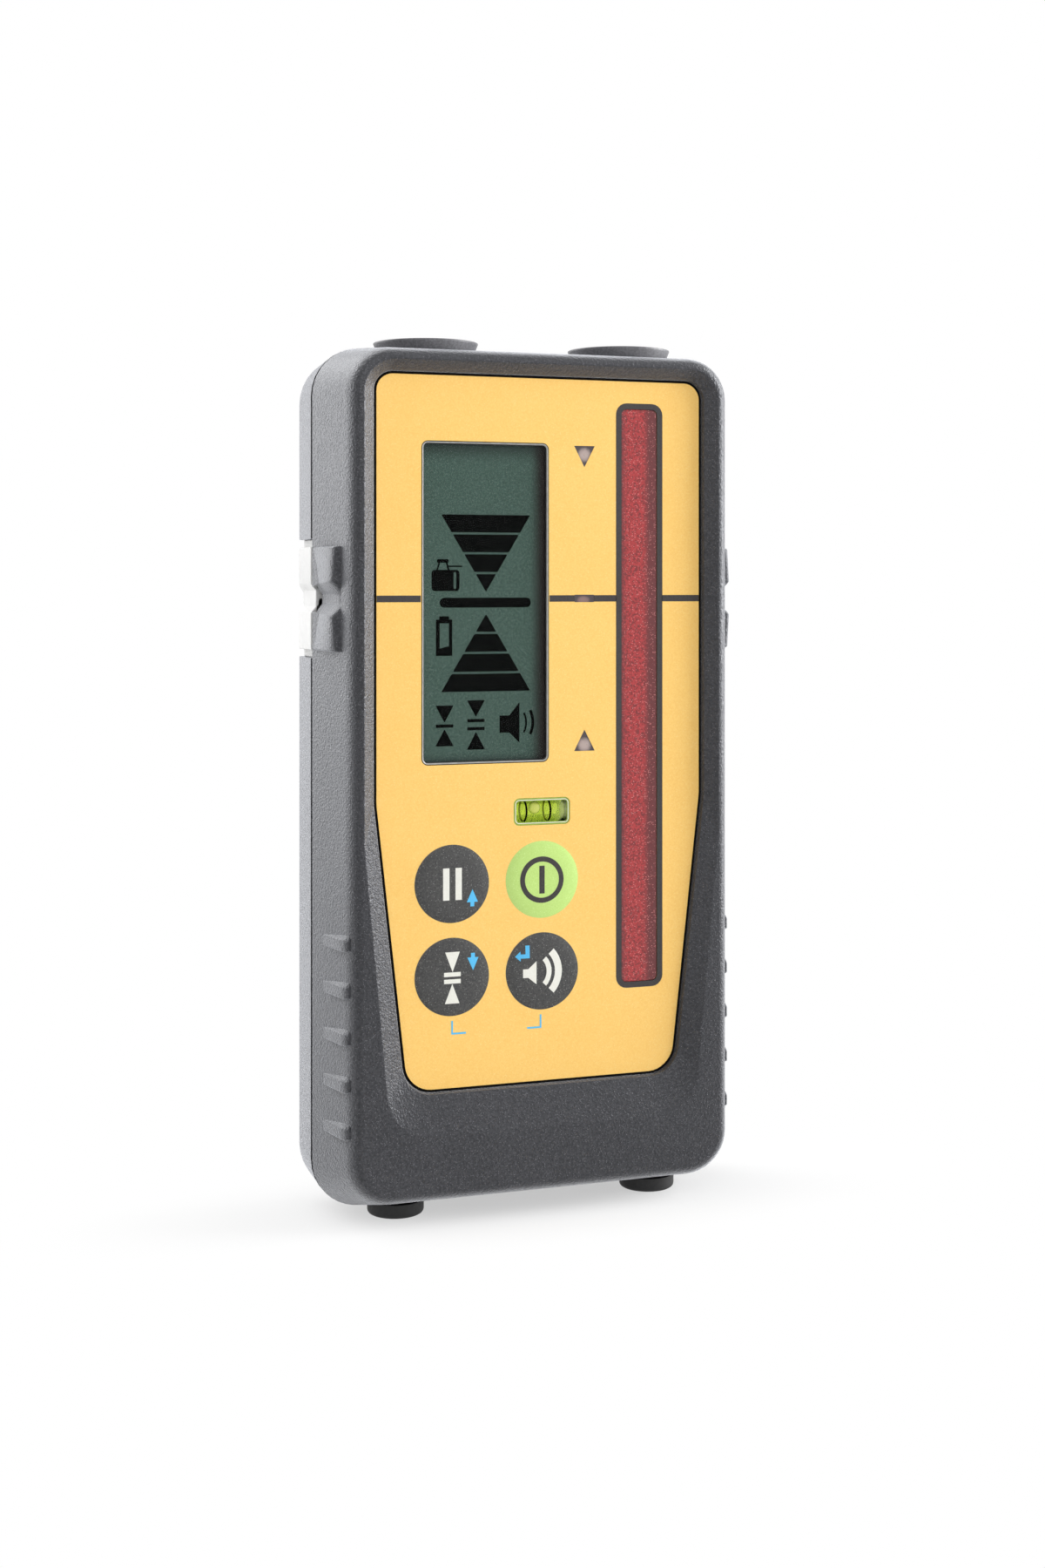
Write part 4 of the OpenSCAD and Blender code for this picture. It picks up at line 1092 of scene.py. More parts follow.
@dataclass
class FrontCase:
    """Front shell with its bevelled recess, side wings and grip ribs."""

    corner_steps: int = 10
    edge_steps: int = 8
    crest_soft: float = 0.35
    crest_steps: int = 3
    wall_in: float = 0.25
    wall_top: float = 1.65
    window_gap: float = 0.04
    window_over: Spot = (0.3, 0.5)
    wing_y: float = -8.6
    wing_h: float = 17.9
    wing_front: WingEnd = WingEnd(34.3, 37.25, 37.65, 35.7, 2.95, 0.9)
    wing_seam: WingEnd = WingEnd(35.0, 38.09, 37.45, 36.3, 2.5, 0.8)
    wing_radii: Place = (0.4, 0.5, 0.45)
    wing_soft: Spot = (1.15, 4.6)
    wing_bends: tuple[float, ...] = (0, 0.1, 0.2, 0.3, 0.4, 0.5, 0.6, 0.8, 1)
    wing_runs: int = 5
    wing_steps: int = 4
    wing_clear: float = 0.06
    room_shares: tuple[float, ...] = (0, 0.5, 1, 1.12)
    room_out: float = 2.0
    rib_first: float = 17.1
    rib_pitch: float = 7.94
    ribs: int = 5
    rib_h: float = 3.2
    rib_flank: float = 1.05
    rib_foot: float = 0.2
    rib_out: float = 0.7
    rib_root: float = 1.6
    rib_radii: tuple[float, ...] = (0.08, 0.3, 0.35, 0.3)
    rib_l: float = 11.4
    rib_start: float = 1.35
    # Share of a rib's height, share of its width and distance from its front end.
    rib_rise: tuple[Place, ...] = ((0.0, 0.55, 0.0), (0.3, 0.7, 0.25), (0.55, 0.84, 0.6), (0.72, 0.93, 1.05),
                                   (0.85, 0.98, 1.6), (0.95, 1.0, 2.4))
    rib_angle: float = 9.8
    rib_steps: int = 5

    def shell(self) -> None:
        """Build the shell as a tray with a carrier wall behind the film."""
        former = Former()
        hole = CASE.panel(CASE.film_gap)
        outer = [(CASE.outline(1, 0), CASE.seam_y), *CASE.soft_edge(self.edge_steps),
                 (CASE.crest(), CASE.rim_y),
                 (CASE.panel(CASE.film_gap + self.wall_in), CASE.rim_y + self.wall_top), (hole, CASE.film_y),
                 (hole, CASE.carrier_y)]
        loops = [former.loop(corners, y, self.corner_steps) for corners, y in outer]
        crest = self.edge_steps + 2
        former.skin(loops[:crest])
        former.fill([*loops[crest - 1], *loops[crest]])
        former.skin(loops[crest:])
        former.cap(loops[-1])
        inner = [former.loop(CASE.outline(share, CASE.wall), y, self.corner_steps)
                 for share, y in ((1, CASE.seam_y), (CASE.share(CASE.cave_y), CASE.cave_y))]
        former.skin([loops[0], *inner])
        former.cap(inner[-1])
        former.soften(loops[crest], self.crest_soft, self.crest_steps)
        tool = Former()
        front, back = self.window_over
        for corners in WINDOWS.all(self.window_gap):
            tool.loft([(corners, CASE.carrier_y - front), (corners, CASE.cave_y + back)])
        tool.join(self.wing_room())
        place("front_case", former, CASE_PLASTIC, replaces=["front_shell"], tool=tool,
              angle=30)

    def wing_outline(self, share: float, drop: float) -> list[Corner]:
        """Front view of a notched wing.

        Args:
            share: share of the way from the wing's front to the parting line.
            drop: how far the wing is drawn in.

        Returns:
            The outline, from the top of the notch's floor round to its foot.
        """
        end = self.wing_front.towards(self.wing_seam, share)
        end_r, shoulder_r, floor_r = self.wing_radii
        half = [(end.in_x, self.wing_h / 2, 0.0), (end.end_x - drop, self.wing_h / 2, end_r),
                (end.shoulder_x - drop, end.shoulder, shoulder_r), (end.floor_x - drop, end.floor, floor_r)]
        return moved(half[::-1] + [(x, -z, r) for x, z, r in half], 0, CASE.grade_z)

    def wing_room(self) -> Former:
        """Room of both wings and outside their notches, cut from the case so that these run to the insert.

        Returns:
            The room.
        """
        stations = []
        out = CASE.half_w + self.room_out
        for share in self.room_shares:
            first, *middle, last = self.wing_outline(share, self.wing_clear)
            corners = [(out, first[1], 0), *middle, (out, last[1], 0)]
            stations.append((corners, self.wing_y + (CASE.seam_y - self.wing_y) * share))
        return Former().loft(stations, self.wing_steps).twin()

    def wings(self) -> None:
        """Build the notched wings on both sides; their faces twist towards the parting line."""
        drop, depth = self.wing_soft
        whole = CASE.seam_y - self.wing_y
        stations = []
        for t in self.wing_bends:
            y = depth * t ** 2
            stations.append((self.wing_outline(y / whole, drop * (1 - t) ** 2), self.wing_y + y))
        for i in range(1, self.wing_runs + 1):
            y = depth + (whole - depth) * i / self.wing_runs
            stations.append((self.wing_outline(y / whole, 0), self.wing_y + y))
        place("side_wings", Former().loft(stations, self.wing_steps).twin(), CASE_PLASTIC,
              angle=75, turned=True)

    def rib(self) -> Former:
        """One rib along its own axis, with its crest at the origin and its front end drawn down.

        Returns:
            The rib.
        """
        half, out, root = self.rib_h / 2, self.rib_out, self.rib_out + self.rib_root
        low_r, foot_r, crest_r, top_r = self.rib_radii
        fixed = [(-root, half, 0), (-root, -half, 0)]
        face = [(-out, -half, low_r), (0, self.rib_foot - half, foot_r), (0, half - self.rib_flank, crest_r),
                (-out, half, top_r)]
        stations = []
        for high, wide, y in (*self.rib_rise, (1, 1, self.rib_l / 2), (1, 1, self.rib_l)):
            low = [(x, z * wide, r * high) for x, z, r in fixed]
            drawn = [(-out + (x + out) * high, z * wide, r * high) for x, z, r in face]
            stations.append(([low[1], *drawn, low[0]], y))
        return Former().loft(stations, self.rib_steps)

    def grip(self) -> None:
        """Build the grip ribs on both sides."""
        ribs = Former()
        start = CASE.rim_y + self.rib_start
        for i in range(self.ribs):
            spot = (CASE.side_x(start) + self.rib_out, start, self.rib_first + i * self.rib_pitch)
            ribs.join(self.rib().turn(-self.rib_angle, "Z", spot))
        place("grip_ribs", ribs.twin(), CASE_PLASTIC, angle=75)

    def build(self) -> None:
        """Build the whole front."""
        self.shell()
        self.wings()
        self.grip()


@dataclass
class PanelFilm:
    """Printed film with its openings, its lines and its frames."""

    ink: float = 0.03
    ink_sunk: float = 0.05
    print_steps: int = 5
    key_hole_r: float = 6.45
    window_gap: float = 0.05
    # lining and lining_gap: depth behind the film's face and side clearance of the black sheet that paints
    # the gap's shade.
    lining: float = 0.1
    lining_gap: float = 0.01
    line_h: float = 1.12
    line_end: float = 0.02
    display_gap: float = 0.3
    frame_w: float = 1.0
    frame_in: float = 0.03
    frame_lap: float = 0.1
    bracket_w: float = 0.3
    bracket_low: float = 32.25
    bracket_rise: float = 2.35
    bracket_run: float = 2.65
    brackets: tuple[tuple[float, int], ...] = ((-16.63, 1), (-0.12, -1))

    def film(self) -> None:
        """Build the film, and a black sheet in the gap round it as painted shade."""
        holes = [*WINDOWS.all(self.window_gap),
                 *(circle(*spot, self.key_hole_r) for spot in KEY_SPOTS.values())]
        place("panel_film", Former().sheet([CASE.panel(0), *holes], CASE.film_y, CASE.film_t), FILM,
              replaces=["overlay_film"])
        # A black sheet behind the gap round the film paints the gap's shade.
        lining = Former().sheet([CASE.panel(CASE.film_gap - self.lining_gap), CASE.panel(self.lining_gap)],
                                CASE.film_y + self.lining, CASE.film_t - self.lining)
        place("panel_gap_painted_shade", lining, SEAL_BLACK)

    def printed(self, name: str, shapes: Sequence[Shape], finish: Finish) -> None:
        """Print shapes on the film.

        Args:
            name: the print's name.
            shapes: edges with their openings.
            finish: the ink.
        """
        former = Former()
        for shape in shapes:
            former.sheet(shape, CASE.film_y - self.ink, self.ink + self.ink_sunk, self.print_steps)
        place(name, former, finish)

    def build(self) -> None:
        """Build the film and its prints."""
        self.film()
        edge, red = CASE.panel_half - self.line_end, WINDOWS.red
        lamp_x, lamp_half = WINDOWS.lamp_x, WINDOWS.lamp_half
        ends = (-edge, *WINDOWS.display.ends(self.display_gap), lamp_x - lamp_half, lamp_x + lamp_half,
                *red.ends(self.frame_w - self.frame_lap), edge)
        lines = [[window((a + b) / 2, CASE.grade_z, b - a, self.line_h)]
                 for a, b in zip(ends[::2], ends[1::2])]
        frames = [[red.grown(self.frame_w), red.grown(-self.frame_in)]]
        self.printed("panel_charcoal_print", lines + frames, INK_CHARCOAL)
        low, rise, run, w = self.bracket_low, self.bracket_rise, self.bracket_run, self.bracket_w
        brackets = [[[(x, low, 0), (x + way * run, low, 0), (x + way * run, low + w, 0),
                      (x + way * w, low + w, 0), (x + way * w, low + rise, 0), (x, low + rise, 0)]]
                    for x, way in self.brackets]
        self.printed("panel_blue_print", brackets, INK_BLUE)


@dataclass
class Keypad:
    """Four embossed keys."""

    r: float = 6.72
    r_steps: int = 14
    turn_steps: int = 64
    skirt_r: float = 6.4
    skirt: Spot = (0.002, 0.3)
    rise: float = 0.4
    crown_power: int = 5
    proud: float = 0.012
    ink: float = 0.02
    print_shift: float = -0.16
    print_steps: int = 4
    arrow_neck: Spot = (1.03, 2.2)
    arrow_shaft: Spot = (0.36, 2.95)

    def dome(self, radius: float) -> float:
        """Height of the embossing above the film at a radius."""
        share = min(radius / self.r, 1.0)
        return self.rise * (1 - share ** self.crown_power) + self.proud

    def settle(self, obj: bpy.types.Object) -> None:
        """Bake a piece's place into its mesh.

        Args:
            obj: the piece.
        """
        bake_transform(obj)

    def cap(self, body: Body) -> None:
        """Build one key's embossed skin.

        Args:
            body: the key.
        """
        x, z = KEY_SPOTS[body]
        radii = [self.r * i / self.r_steps for i in range(self.r_steps + 1)]
        top, foot = self.skirt
        profile = [*((r, -self.dome(r)) for r in radii), (self.skirt_r, -top), (self.skirt_r, foot),
                   (0.0, foot)]
        former = Former().lathe(profile, (x, CASE.film_y, z), (0, 1, 0), self.turn_steps)
        finish, slot = (KEY_GREEN, "green_key") if body is Body.POWER else (KEY_DARK, "dark_key")
        self.settle(place(f"{body.value}_skin", former, finish, None, [body.value], angle=50))

    def symbol(self, name: str, body: Body, shapes: Sequence[Shape], finish: Finish) -> None:
        """Print shapes on one key's skin, following its crown.

        Args:
            name: the print's name.
            body: the key.
            shapes: edges with their openings, about the key's middle.
            finish: the ink.
        """
        x, z = KEY_SPOTS[body]
        former = Former()
        for shape in shapes:
            outlines = [moved(corners, x + self.print_shift, z) for corners in shape]
            former.fill([edge for corners in outlines
                         for edge in former.loop(corners, 0.0, self.print_steps)])
        bmesh.ops.subdivide_edges(former.bm, edges=former.bm.edges[:], cuts=1)
        for vert in former.bm.verts:
            radius = math.hypot(vert.co.x / MM - x, vert.co.z / MM - z)
            vert.co.y = (CASE.film_y - self.dome(radius) - self.ink) * MM
        former.even()
        former.thicken(former.bm.faces[:], 2 * self.ink)
        self.settle(place(name, former, finish, None))

    def arrow(self, x: float, tip: float, way: Way) -> list[Corner]:
        """Blue arrow of a menu key: a head with a short shaft.

        Args:
            x: its place across.
            tip: height of its tip.
            way: where it points.

        Returns:
            The outline.
        """
        (head, neck), (shaft, end) = self.arrow_neck, self.arrow_shaft
        half = [(head, neck), (shaft, neck), (shaft, end)]
        sides = [*half, *((-across, along) for across, along in half[::-1])]
        return [(x, tip, 0), *((x + across, tip - way.value * along, 0) for across, along in sides)]

    def build(self) -> None:
        """Build the keys and their symbols."""
        for body in KEY_SPOTS:
            self.cap(body)
        bars = [[window(x, 0.0, 1.14, 5.5)] for x in (-1.0, 1.23)]
        ring = [circle(0, 0, 4.04), circle(0, 0, 3.15)]
        mode = [[arrowhead(0.13, 4.32, 1.32, 0.91)], [window(0.1, 0.48, 3.0, 0.74)],
                [window(0.1, -0.71, 3.0, 0.74)], [arrowhead(0.08, -4.52, 1.31, -1.13)]]
        horn = [(-3.5, -0.98, 0), (-2.53, -0.98, 0), (-1.02, -2.18, 0), (-1.02, 1.83, 0), (-2.53, 0.53, 0),
                (-3.5, 0.53, 0)]
        sound = [[horn], [arc_band(-1.96, 0.0, 3.28, 0.92, 43)], [arc_band(-1.96, 0.0, 5.02, 1.3, 43)]]
        enter = [(-4.93, 2.77, 0), (-3.93, 1.92, 0), (-3.93, 2.42, 0), (-2.28, 2.42, 0), (-2.28, 4.62, 0),
                 (-3.04, 4.62, 0), (-3.04, 3.13, 0), (-3.93, 3.13, 0), (-3.93, 3.66, 0)]
        self.symbol("pause_bars", Body.PAUSE, bars, INK_WHITE)
        self.symbol("pause_arrow", Body.PAUSE, [[self.arrow(3.74, -1.04, Way.UP)]], INK_BLUE)
        self.symbol("power_ring", Body.POWER, [ring, [window(0, 0, 0.98, 4.83)]], INK_CHARCOAL)
        self.symbol("mode_marks", Body.MODE, mode, INK_WHITE)
        self.symbol("mode_arrow", Body.MODE, [[self.arrow(3.85, 1.0, Way.DOWN)]], INK_BLUE)
        self.symbol("sound_marks", Body.SOUND, sound, INK_WHITE)
        self.symbol("sound_return", Body.SOUND, [[enter]], INK_BLUE)


@dataclass
class Display:
    """Display window: a thin rim painted bright as a glint, a dark frame, the liquid crystal face and its
    signs.
    """

    face_y: float = -9.6
    face_t: float = 1.2
    face_grow: float = 0.3
    ink: float = 0.03
    ink_sunk: float = 0.05
    rim_w: float = 0.2
    rim_out: float = 0.04
    rim_y: tuple[float, ...] = (0.2, -0.02, -0.05, 0.12)
    wall_w: float = 0.12
    wall_y: float = 0.28
    wall_gap: float = 0.02
    line_grow: Spot = (0.17, 0.045)
    line_y: Spot = (-0.02, 0.1)
    cover_gap: float = 0.02
    cover_y: Spot = (0.15, 0.27)
    arrow_x: float = -9.98
    arrow_half: float = 8.12
    arrows: tuple[Spot, ...] = ((121.49, 108.2), (90.96, 104.33))
    bars: int = 4
    bar_gap: float = 0.38
    bar_r: float = 0.14
    grade_bar: tuple[float, ...] = (-18.39, -1.73, 105.48, 107.16, 0.8)
    # Place across of a sign for the beam's width, heights of its arrowheads, and heights of its lines.
    width_signs: tuple[tuple[float, tuple[float, ...], tuple[float, ...]], ...] = (
        (-17.52, (88.64, 85.7, 84.57, 81.66), (85.12,)),
        (-11.82, (89.46, 86.62, 83.98, 80.95), (85.95, 84.55)))
    width_half: float = 1.62
    width_r: float = 0.06
    width_line: Place = (3.14, 0.55, 0.1)
    sign_steps: int = 4

    def level_arrow(self, base: float, tip: float) -> list[Shape]:
        """Level arrow of several bars.

        Args:
            base: height of its base.
            tip: height of its tip.

        Returns:
            The bars and the tip.
        """
        gap = math.copysign(self.bar_gap, tip - base)
        pitch = (tip - base + gap) / self.bars
        x, r, shapes = self.arrow_x, self.bar_r, []
        for i in range(self.bars):
            near = base + pitch * i
            far = near + pitch - gap
            wide, slim = (self.arrow_half * (tip - z) / (tip - base) for z in (near, far))
            shapes.append([[(x - wide, near, r), (x + wide, near, r), (x + slim, far, r),
                            (x - slim, far, r)]])
        shapes[-1] = [arrowhead(x, near, wide, tip, r)]
        return shapes

    @staticmethod
    def level_sign() -> list[Shape]:
        """Small sign of a levelling instrument with its beam."""
        return [[span(-19.86, -14.82, 108.33, 111.96, 0.6), span(-15.89, -15.41, 108.7, 111.59, 0.2)],
                [[(-19.0, 111.9, 0), (-18.7, 111.9, 0), (-18.3, 113.25, 0), (-18.6, 113.25, 0)]],
                [[(-16.95, 111.9, 0), (-16.6, 111.9, 0), (-17.0, 113.25, 0), (-17.3, 113.25, 0)]],
                [span(-18.87, -16.8, 113.2, 113.8, 0.15)], [span(-16.95, -14.34, 112.45, 112.71)]]

    @staticmethod
    def cell_sign() -> list[Shape]:
        """Small sign of a cell that is nearly empty."""
        return [[span(-19.06, -16.13, 97.19, 103.41),
                 [(-18.39, 98.45, 0), (-16.72, 98.85, 0), (-16.72, 102.78, 0), (-18.39, 102.78, 0)]],
                [span(-18.47, -16.72, 103.3, 103.98)]]

    @staticmethod
    def speaker_sign() -> list[Shape]:
        """Small sign of a loudspeaker with two waves."""
        horn = [(-7.48, 83.73, 0), (-5.7, 83.73, 0), (-3.83, 81.93, 0), (-3.83, 88.97, 0), (-5.7, 86.72, 0),
                (-7.48, 86.72, 0)]
        return [[horn], [arc_band(-6.2, 85.4, 3.6, 0.32, 28)], [arc_band(-5.9, 85.45, 4.55, 0.5, 27)]]

    def signs(self) -> list[Shape]:
        """All signs of the display.

        Returns:
            Edges with their openings.
        """
        shapes = [shape for base, tip in self.arrows for shape in self.level_arrow(base, tip)]
        shapes += [[span(*self.grade_bar)], *self.level_sign(), *self.cell_sign(), *self.speaker_sign()]
        for x, (top, upper_tip, lower_tip, low), lines in self.width_signs:
            for base, tip in ((top, upper_tip), (low, lower_tip)):
                shapes.append([arrowhead(x, base, self.width_half, tip, self.width_r)])
            shapes += [[window(x, z, *self.width_line)] for z in lines]
        return shapes

    def build(self) -> None:
        """Build the display."""
        box, film_y = WINDOWS.display, CASE.film_y
        wide = box.grown(self.face_grow)
        finish = DisplayGlass("display_face_painted_shade", (box.x, box.z), (box.w / 2, box.h / 2))
        place("display_face_painted_shade", Former().loft([(wide, self.face_y), (wide, self.face_y + self.face_t)]), finish,
              replaces=["display_panel"])
        signs = Former()
        for shape in self.signs():
            signs.sheet(shape, self.face_y - self.ink, self.ink + self.ink_sunk, self.sign_steps)
        place("display_signs", signs, INK_BLACK)
        outer, inner, grown = box.grown(), box.grown(-self.rim_w), box.grown(self.rim_out)
        wall_y = film_y + self.wall_y
        wall = Former().sheet([outer, box.grown(-self.rim_w - self.wall_w)], wall_y,
                              self.face_y - wall_y - self.wall_gap)
        place("display_frame", wall, DARK_WALL)
        foot, edge, crown, lip = (film_y + y for y in self.rim_y)
        # The rim's bright finish is a painted glint on the lens's bevel.
        rim = Former().hoop([(grown, foot), (grown, edge), (outer, crown), (inner, lip), (inner, foot)])
        place("display_rim", rim, BEVEL_GLINT, angle=20)
        line = Former().sheet([box.grown(grow) for grow in self.line_grow], film_y + self.line_y[0],
                              self.line_y[1])
        place("display_line", line, INK_BLACK)
        slim = box.grown(-self.rim_w - self.cover_gap)
        place("display_cover", Former().loft([(slim, film_y + y) for y in self.cover_y]), COVER,
              replaces=["display_lens"])


@dataclass
class SensorWindow:
    """Long red window and the three lamp lenses."""

    sink: float = 0.04
    # Growth of the red window's outline, and depth below its face; then the same for its flange.
    crown: tuple[Spot, ...] = ((-0.25, 0.0), (-0.08, 0.07), (0.0, 0.25))
    flange: tuple[Spot, ...] = ((0.0, 0.0), (0.9, 0.02), (0.9, 0.8))
    lens_grow: Spot = (0.02, 0.04)
    lens_soft: float = 0.05
    head: float = 1.35
    high_rise: float = 0.3
    low_drop: float = 0.8
    grade_shift: Spot = (-0.2, -0.3)
    grade_head: Spot = (1.35, 0.8)

    def build(self) -> None:
        """Build the red window and the lamp lenses."""
        red, low = WINDOWS.red, CASE.film_y + self.sink
        stations = [(red.grown(grow), start + y)
                    for start, rows in ((low, self.crown), (CASE.cave_y, self.flange)) for grow, y in rows]
        place("red_window", Former().loft(stations), RedFilter("red_filter", red.x, red.w / 2),
              replaces=["receiver_window"])
        x, mid, rise = WINDOWS.lamp_x, CASE.grade_z, WINDOWS.lamp_rise
        reach, (dx, dz) = (self.head, self.head), self.grade_shift
        for name, outlines, finish in (
                ("lamp_high", [WINDOWS.lamp(Way.DOWN, grow) for grow in self.lens_grow],
                 SpotGlow("lamp_high_lens", (x, mid + rise + self.high_rise), reach)),
                ("lamp_grade", [WINDOWS.grade_lamp(grow) for grow in self.lens_grow],
                 SpotGlow("lamp_grade_lens", (x + dx, mid + dz), self.grade_head, LAMP_GRADE_HEAD)),
                ("lamp_low", [WINDOWS.lamp(Way.UP, grow) for grow in self.lens_grow],
                 SpotGlow("lamp_low_lens", (x, mid - rise - self.low_drop), reach))):
            slim, full = outlines
            lens = Former().loft([(slim, low), (full, low + self.lens_soft), (full, CASE.cave_y)])
            place(name, lens, finish, replaces=[name.replace("lamp", "led_lens")])


@dataclass
class Vial:
    """Small spirit level behind its window."""

    r: float = 1.9
    y: float = -8.4
    rings: Spot = (-2.75, 1.7)
    ring_w: float = 0.34
    ring_deep: float = 0.06
    ring_proud: float = 0.03
    fluid_end: float = 4.45
    # How much slimmer than the tube a turned end is, and how far it lies from the end of its piece.
    fluid_left: tuple[Spot, ...] = ((1.9, 0.3), (0.4, 0.35), (0.0, 0.8))
    fluid_right: tuple[Spot, ...] = ((0.0, -0.4), (0.4, 0.0), (1.9, 0.0))
    plug_left: tuple[Spot, ...] = ((1.9, 0.05), (0.5, 0.05), (0.1, 0.4))
    plug_right: tuple[Spot, ...] = ((0.1, -0.3), (0.4, -0.15), (1.9, -0.15))
    bed_y: float = -6.2
    bed_t: float = 0.1
    bubble: Place = (-0.85, -8.9, 0.5)
    bubble_half: Place = (1.1, 0.8, 1.15)
    # The bubble's colours are painted light and shade: a lit pale middle, a shaded darker edge and a glow.
    bubble_lit_middle: Colour = paint(226, 222, 132)
    bubble_edge_shade: Colour = paint(74, 116, 44)
    bubble_fade: Spot = (1.0, 0.45)
    bubble_alpha: float = 0.62
    bubble_painted_glow: float = 0.15
    bubble_steps: int = 32
    ring_grow: Spot = (0.02, -0.5)
    ring_y: Spot = (0.12, 0.23)
    ridge_in: Spot = (0.26, 0.38)
    ridge_y: Place = (0.14, 0.03, -0.02)

    def turned(self, *profiles: Sequence[Spot]) -> Former:
        """Turn profiles about the vial's axis, from its middle.

        Args:
            profiles: radius and distance along the axis.

        Returns:
            The shape.
        """
        former = Former()
        for profile in profiles:
            former.lathe(profile, (WINDOWS.vial.x, self.y, WINDOWS.vial.z), (1, 0, 0))
        return former

    def tube(self) -> None:
        """Build the bed, which glows with painted light, the fluid, its end plug and the two rings."""
        box, r, end, half = WINDOWS.vial.grown(), self.r, self.fluid_end, WINDOWS.vial.w / 2
        place("vial_bed_painted_glow", Former().loft([(box, self.bed_y - self.bed_t), (box, self.bed_y)]), VIAL_BED_GLOW,
              replaces=["vial_tube"])
        fluid = [*((r - slim, along - half) for slim, along in self.fluid_left),
                 *((r - slim, end + along) for slim, along in self.fluid_right)]
        plug = [*((r - slim, end + along) for slim, along in self.plug_left),
                *((r - slim, half + along) for slim, along in self.plug_right)]
        rings = []
        for spot in self.rings:
            low, high = spot - self.ring_w / 2, spot + self.ring_w / 2
            deep, proud = r - self.ring_deep, r + self.ring_proud
            rings.append([(deep, low), (proud, low), (proud, high), (deep, high), (deep, low)])
        place("vial_fluid", self.turned(fluid), FLUID)
        place("vial_plug", self.turned(plug), VIAL_END)
        place("vial_rings", self.turned(*rings), INK_BLACK)

    def air(self) -> None:
        """Build the bubble that lies along the top of the tube."""
        former = Former()
        bmesh.ops.create_uvsphere(former.bm, u_segments=self.bubble_steps, v_segments=self.bubble_steps // 2,
                                  radius=MM)
        bmesh.ops.scale(former.bm, vec=self.bubble_half, verts=former.bm.verts[:])
        spot = Vector(self.bubble) + Vector((WINDOWS.vial.x, 0, WINDOWS.vial.z))
        bmesh.ops.translate(former.bm, verts=former.bm.verts[:], vec=spot * MM)
        # Painted light in the bubble's middle and painted shade at its edge.
        finish = SpotGlow("vial_bubble_painted_light", (spot.x, spot.z), self.bubble_half[::2], self.bubble_lit_middle,
                          self.bubble_edge_shade, self.bubble_fade, self.bubble_alpha, self.bubble_painted_glow)
        place("vial_air_bubble", former, finish, Body.BUBBLE, ["vial_bubble"])

    def rim(self) -> None:
        """Build the clear ring in the window and the ridge that runs round it, painted near white as a glint.
        """
        box, film_y = WINDOWS.vial, CASE.film_y
        ring = Former().sheet([box.grown(grow) for grow in self.ring_grow], film_y + self.ring_y[0],
                              self.ring_y[1])
        place("vial_ring", ring, VIAL_RING)
        outer, inner = (box.grown(-inset) for inset in self.ridge_in)
        crown = box.grown(-sum(self.ridge_in) / 2)
        foot, flank, top = (film_y + y for y in self.ridge_y)
        ridge = Former().hoop([(outer, foot), (outer, flank), (crown, top), (inner, flank), (inner, foot)])
        place("vial_ridge", ridge, VIAL_GLINT, angle=25)

    def build(self) -> None:
        """Build the whole spirit level."""
        self.tube()
        self.air()
        self.rim()


@dataclass
class SideInserts:
    """White inserts in the sides of the rear shell, behind the wings."""

    in_x: float = 34.75
    front: float = 2.25
    back: float = 12.8
    half_h: float = 8.95
    tab_half: float = 10.3
    step: float = 0.9
    notch_wide: float = 3.85
    notch_floor: float = 1.0
    notch_depth: float = 1.2
    over: float = 1.0
    soft: float = 0.15

    def bar(self, inset: float, half: float) -> Former:
        """Upright bar about the on-grade height, rounded at the back like the shell.

        Args:
            inset: how far its outer face and its back lie inside the shell's.
            half: half its height.

        Returns:
            The bar.
        """
        x, y, r = CASE.half_w - inset, self.back - inset, CASE.rear_edge_r - inset
        plan = [(self.in_x, self.front, 0), (x, self.front, 0), (x, y, r), (self.in_x, y, 0)]
        return Former().loft([(plan, -CASE.grade_z - half), (plan, -CASE.grade_z + half)]).turn(-90, "X")

    def notch(self) -> Former:
        """Wedge that cuts the notch.

        Returns:
            The wedge.
        """
        out, floor = CASE.half_w + self.over, CASE.half_w - self.notch_depth
        corners = moved([(floor, -self.notch_floor, 0), (out, -self.notch_wide, 0), (out, self.notch_wide, 0),
                         (floor, self.notch_floor, 0)], 0, CASE.grade_z)
        return Former().loft([(corners, 0.0), (corners, CASE.back_y + self.over)])

    def build(self) -> None:
        """Build both inserts with their notch and their lower end tabs."""
        for name, side in (("side_insert_left", -1), ("side_insert_right", 1)):
            body, tabs, tool = self.bar(0, self.half_h), self.bar(self.step, self.tab_half), self.notch()
            for former in (body, tabs, tool):
                bmesh.ops.scale(former.bm, vec=(side, 1, 1), verts=former.bm.verts[:])
            white = place(name + "_white", body, WHITE_PLASTIC, replaces=[name],
                          tool=tool, angle=40)
            for piece in (white, place(name + "_tabs", tabs, WHITE_PLASTIC, angle=40)):
                soften_edges(piece, self.soft)


@dataclass
class Stands:
    """Rubber pads on top and rubber feet below."""

    pad_x: float = 18.3
    foot_x: float = 23.8
    y: float = -1.2
    pad_z: float = 150.75
    steps: int = 64
    pad: tuple[Spot, ...] = ((0.0, -4.0), (2.2, -4.0), (2.2, -0.95), (8.55, -0.95), (8.75, -0.4), (8.93, 0.1),
                             (9.1, 0.5), (9.2, 0.76), (9.18, 0.85), (9.1, 0.9), (0.0, 0.9))
    foot: tuple[Spot, ...] = ((0.0, 0.0), (4.1, 0.0), (4.45, 0.06), (4.72, 0.22), (4.88, 0.45), (4.95, 0.75),
                              (4.95, 2.45), (0.0, 2.45))

    def build(self) -> None:
        """Turn the pads and feet."""
        for name, profile, x, z, finish, node in (
                ("top_pad_discs", self.pad, self.pad_x, self.pad_z, PAD_RUBBER, "top_pads"),
                ("rubber_feet", self.foot, self.foot_x, 0.0, FOOT_RUBBER, "feet")):
            former = Former().lathe(profile, (x, self.y, z), (0, 0, 1), self.steps).twin()
            place(name, former, finish, replaces=[node], angle=50, turned=True)


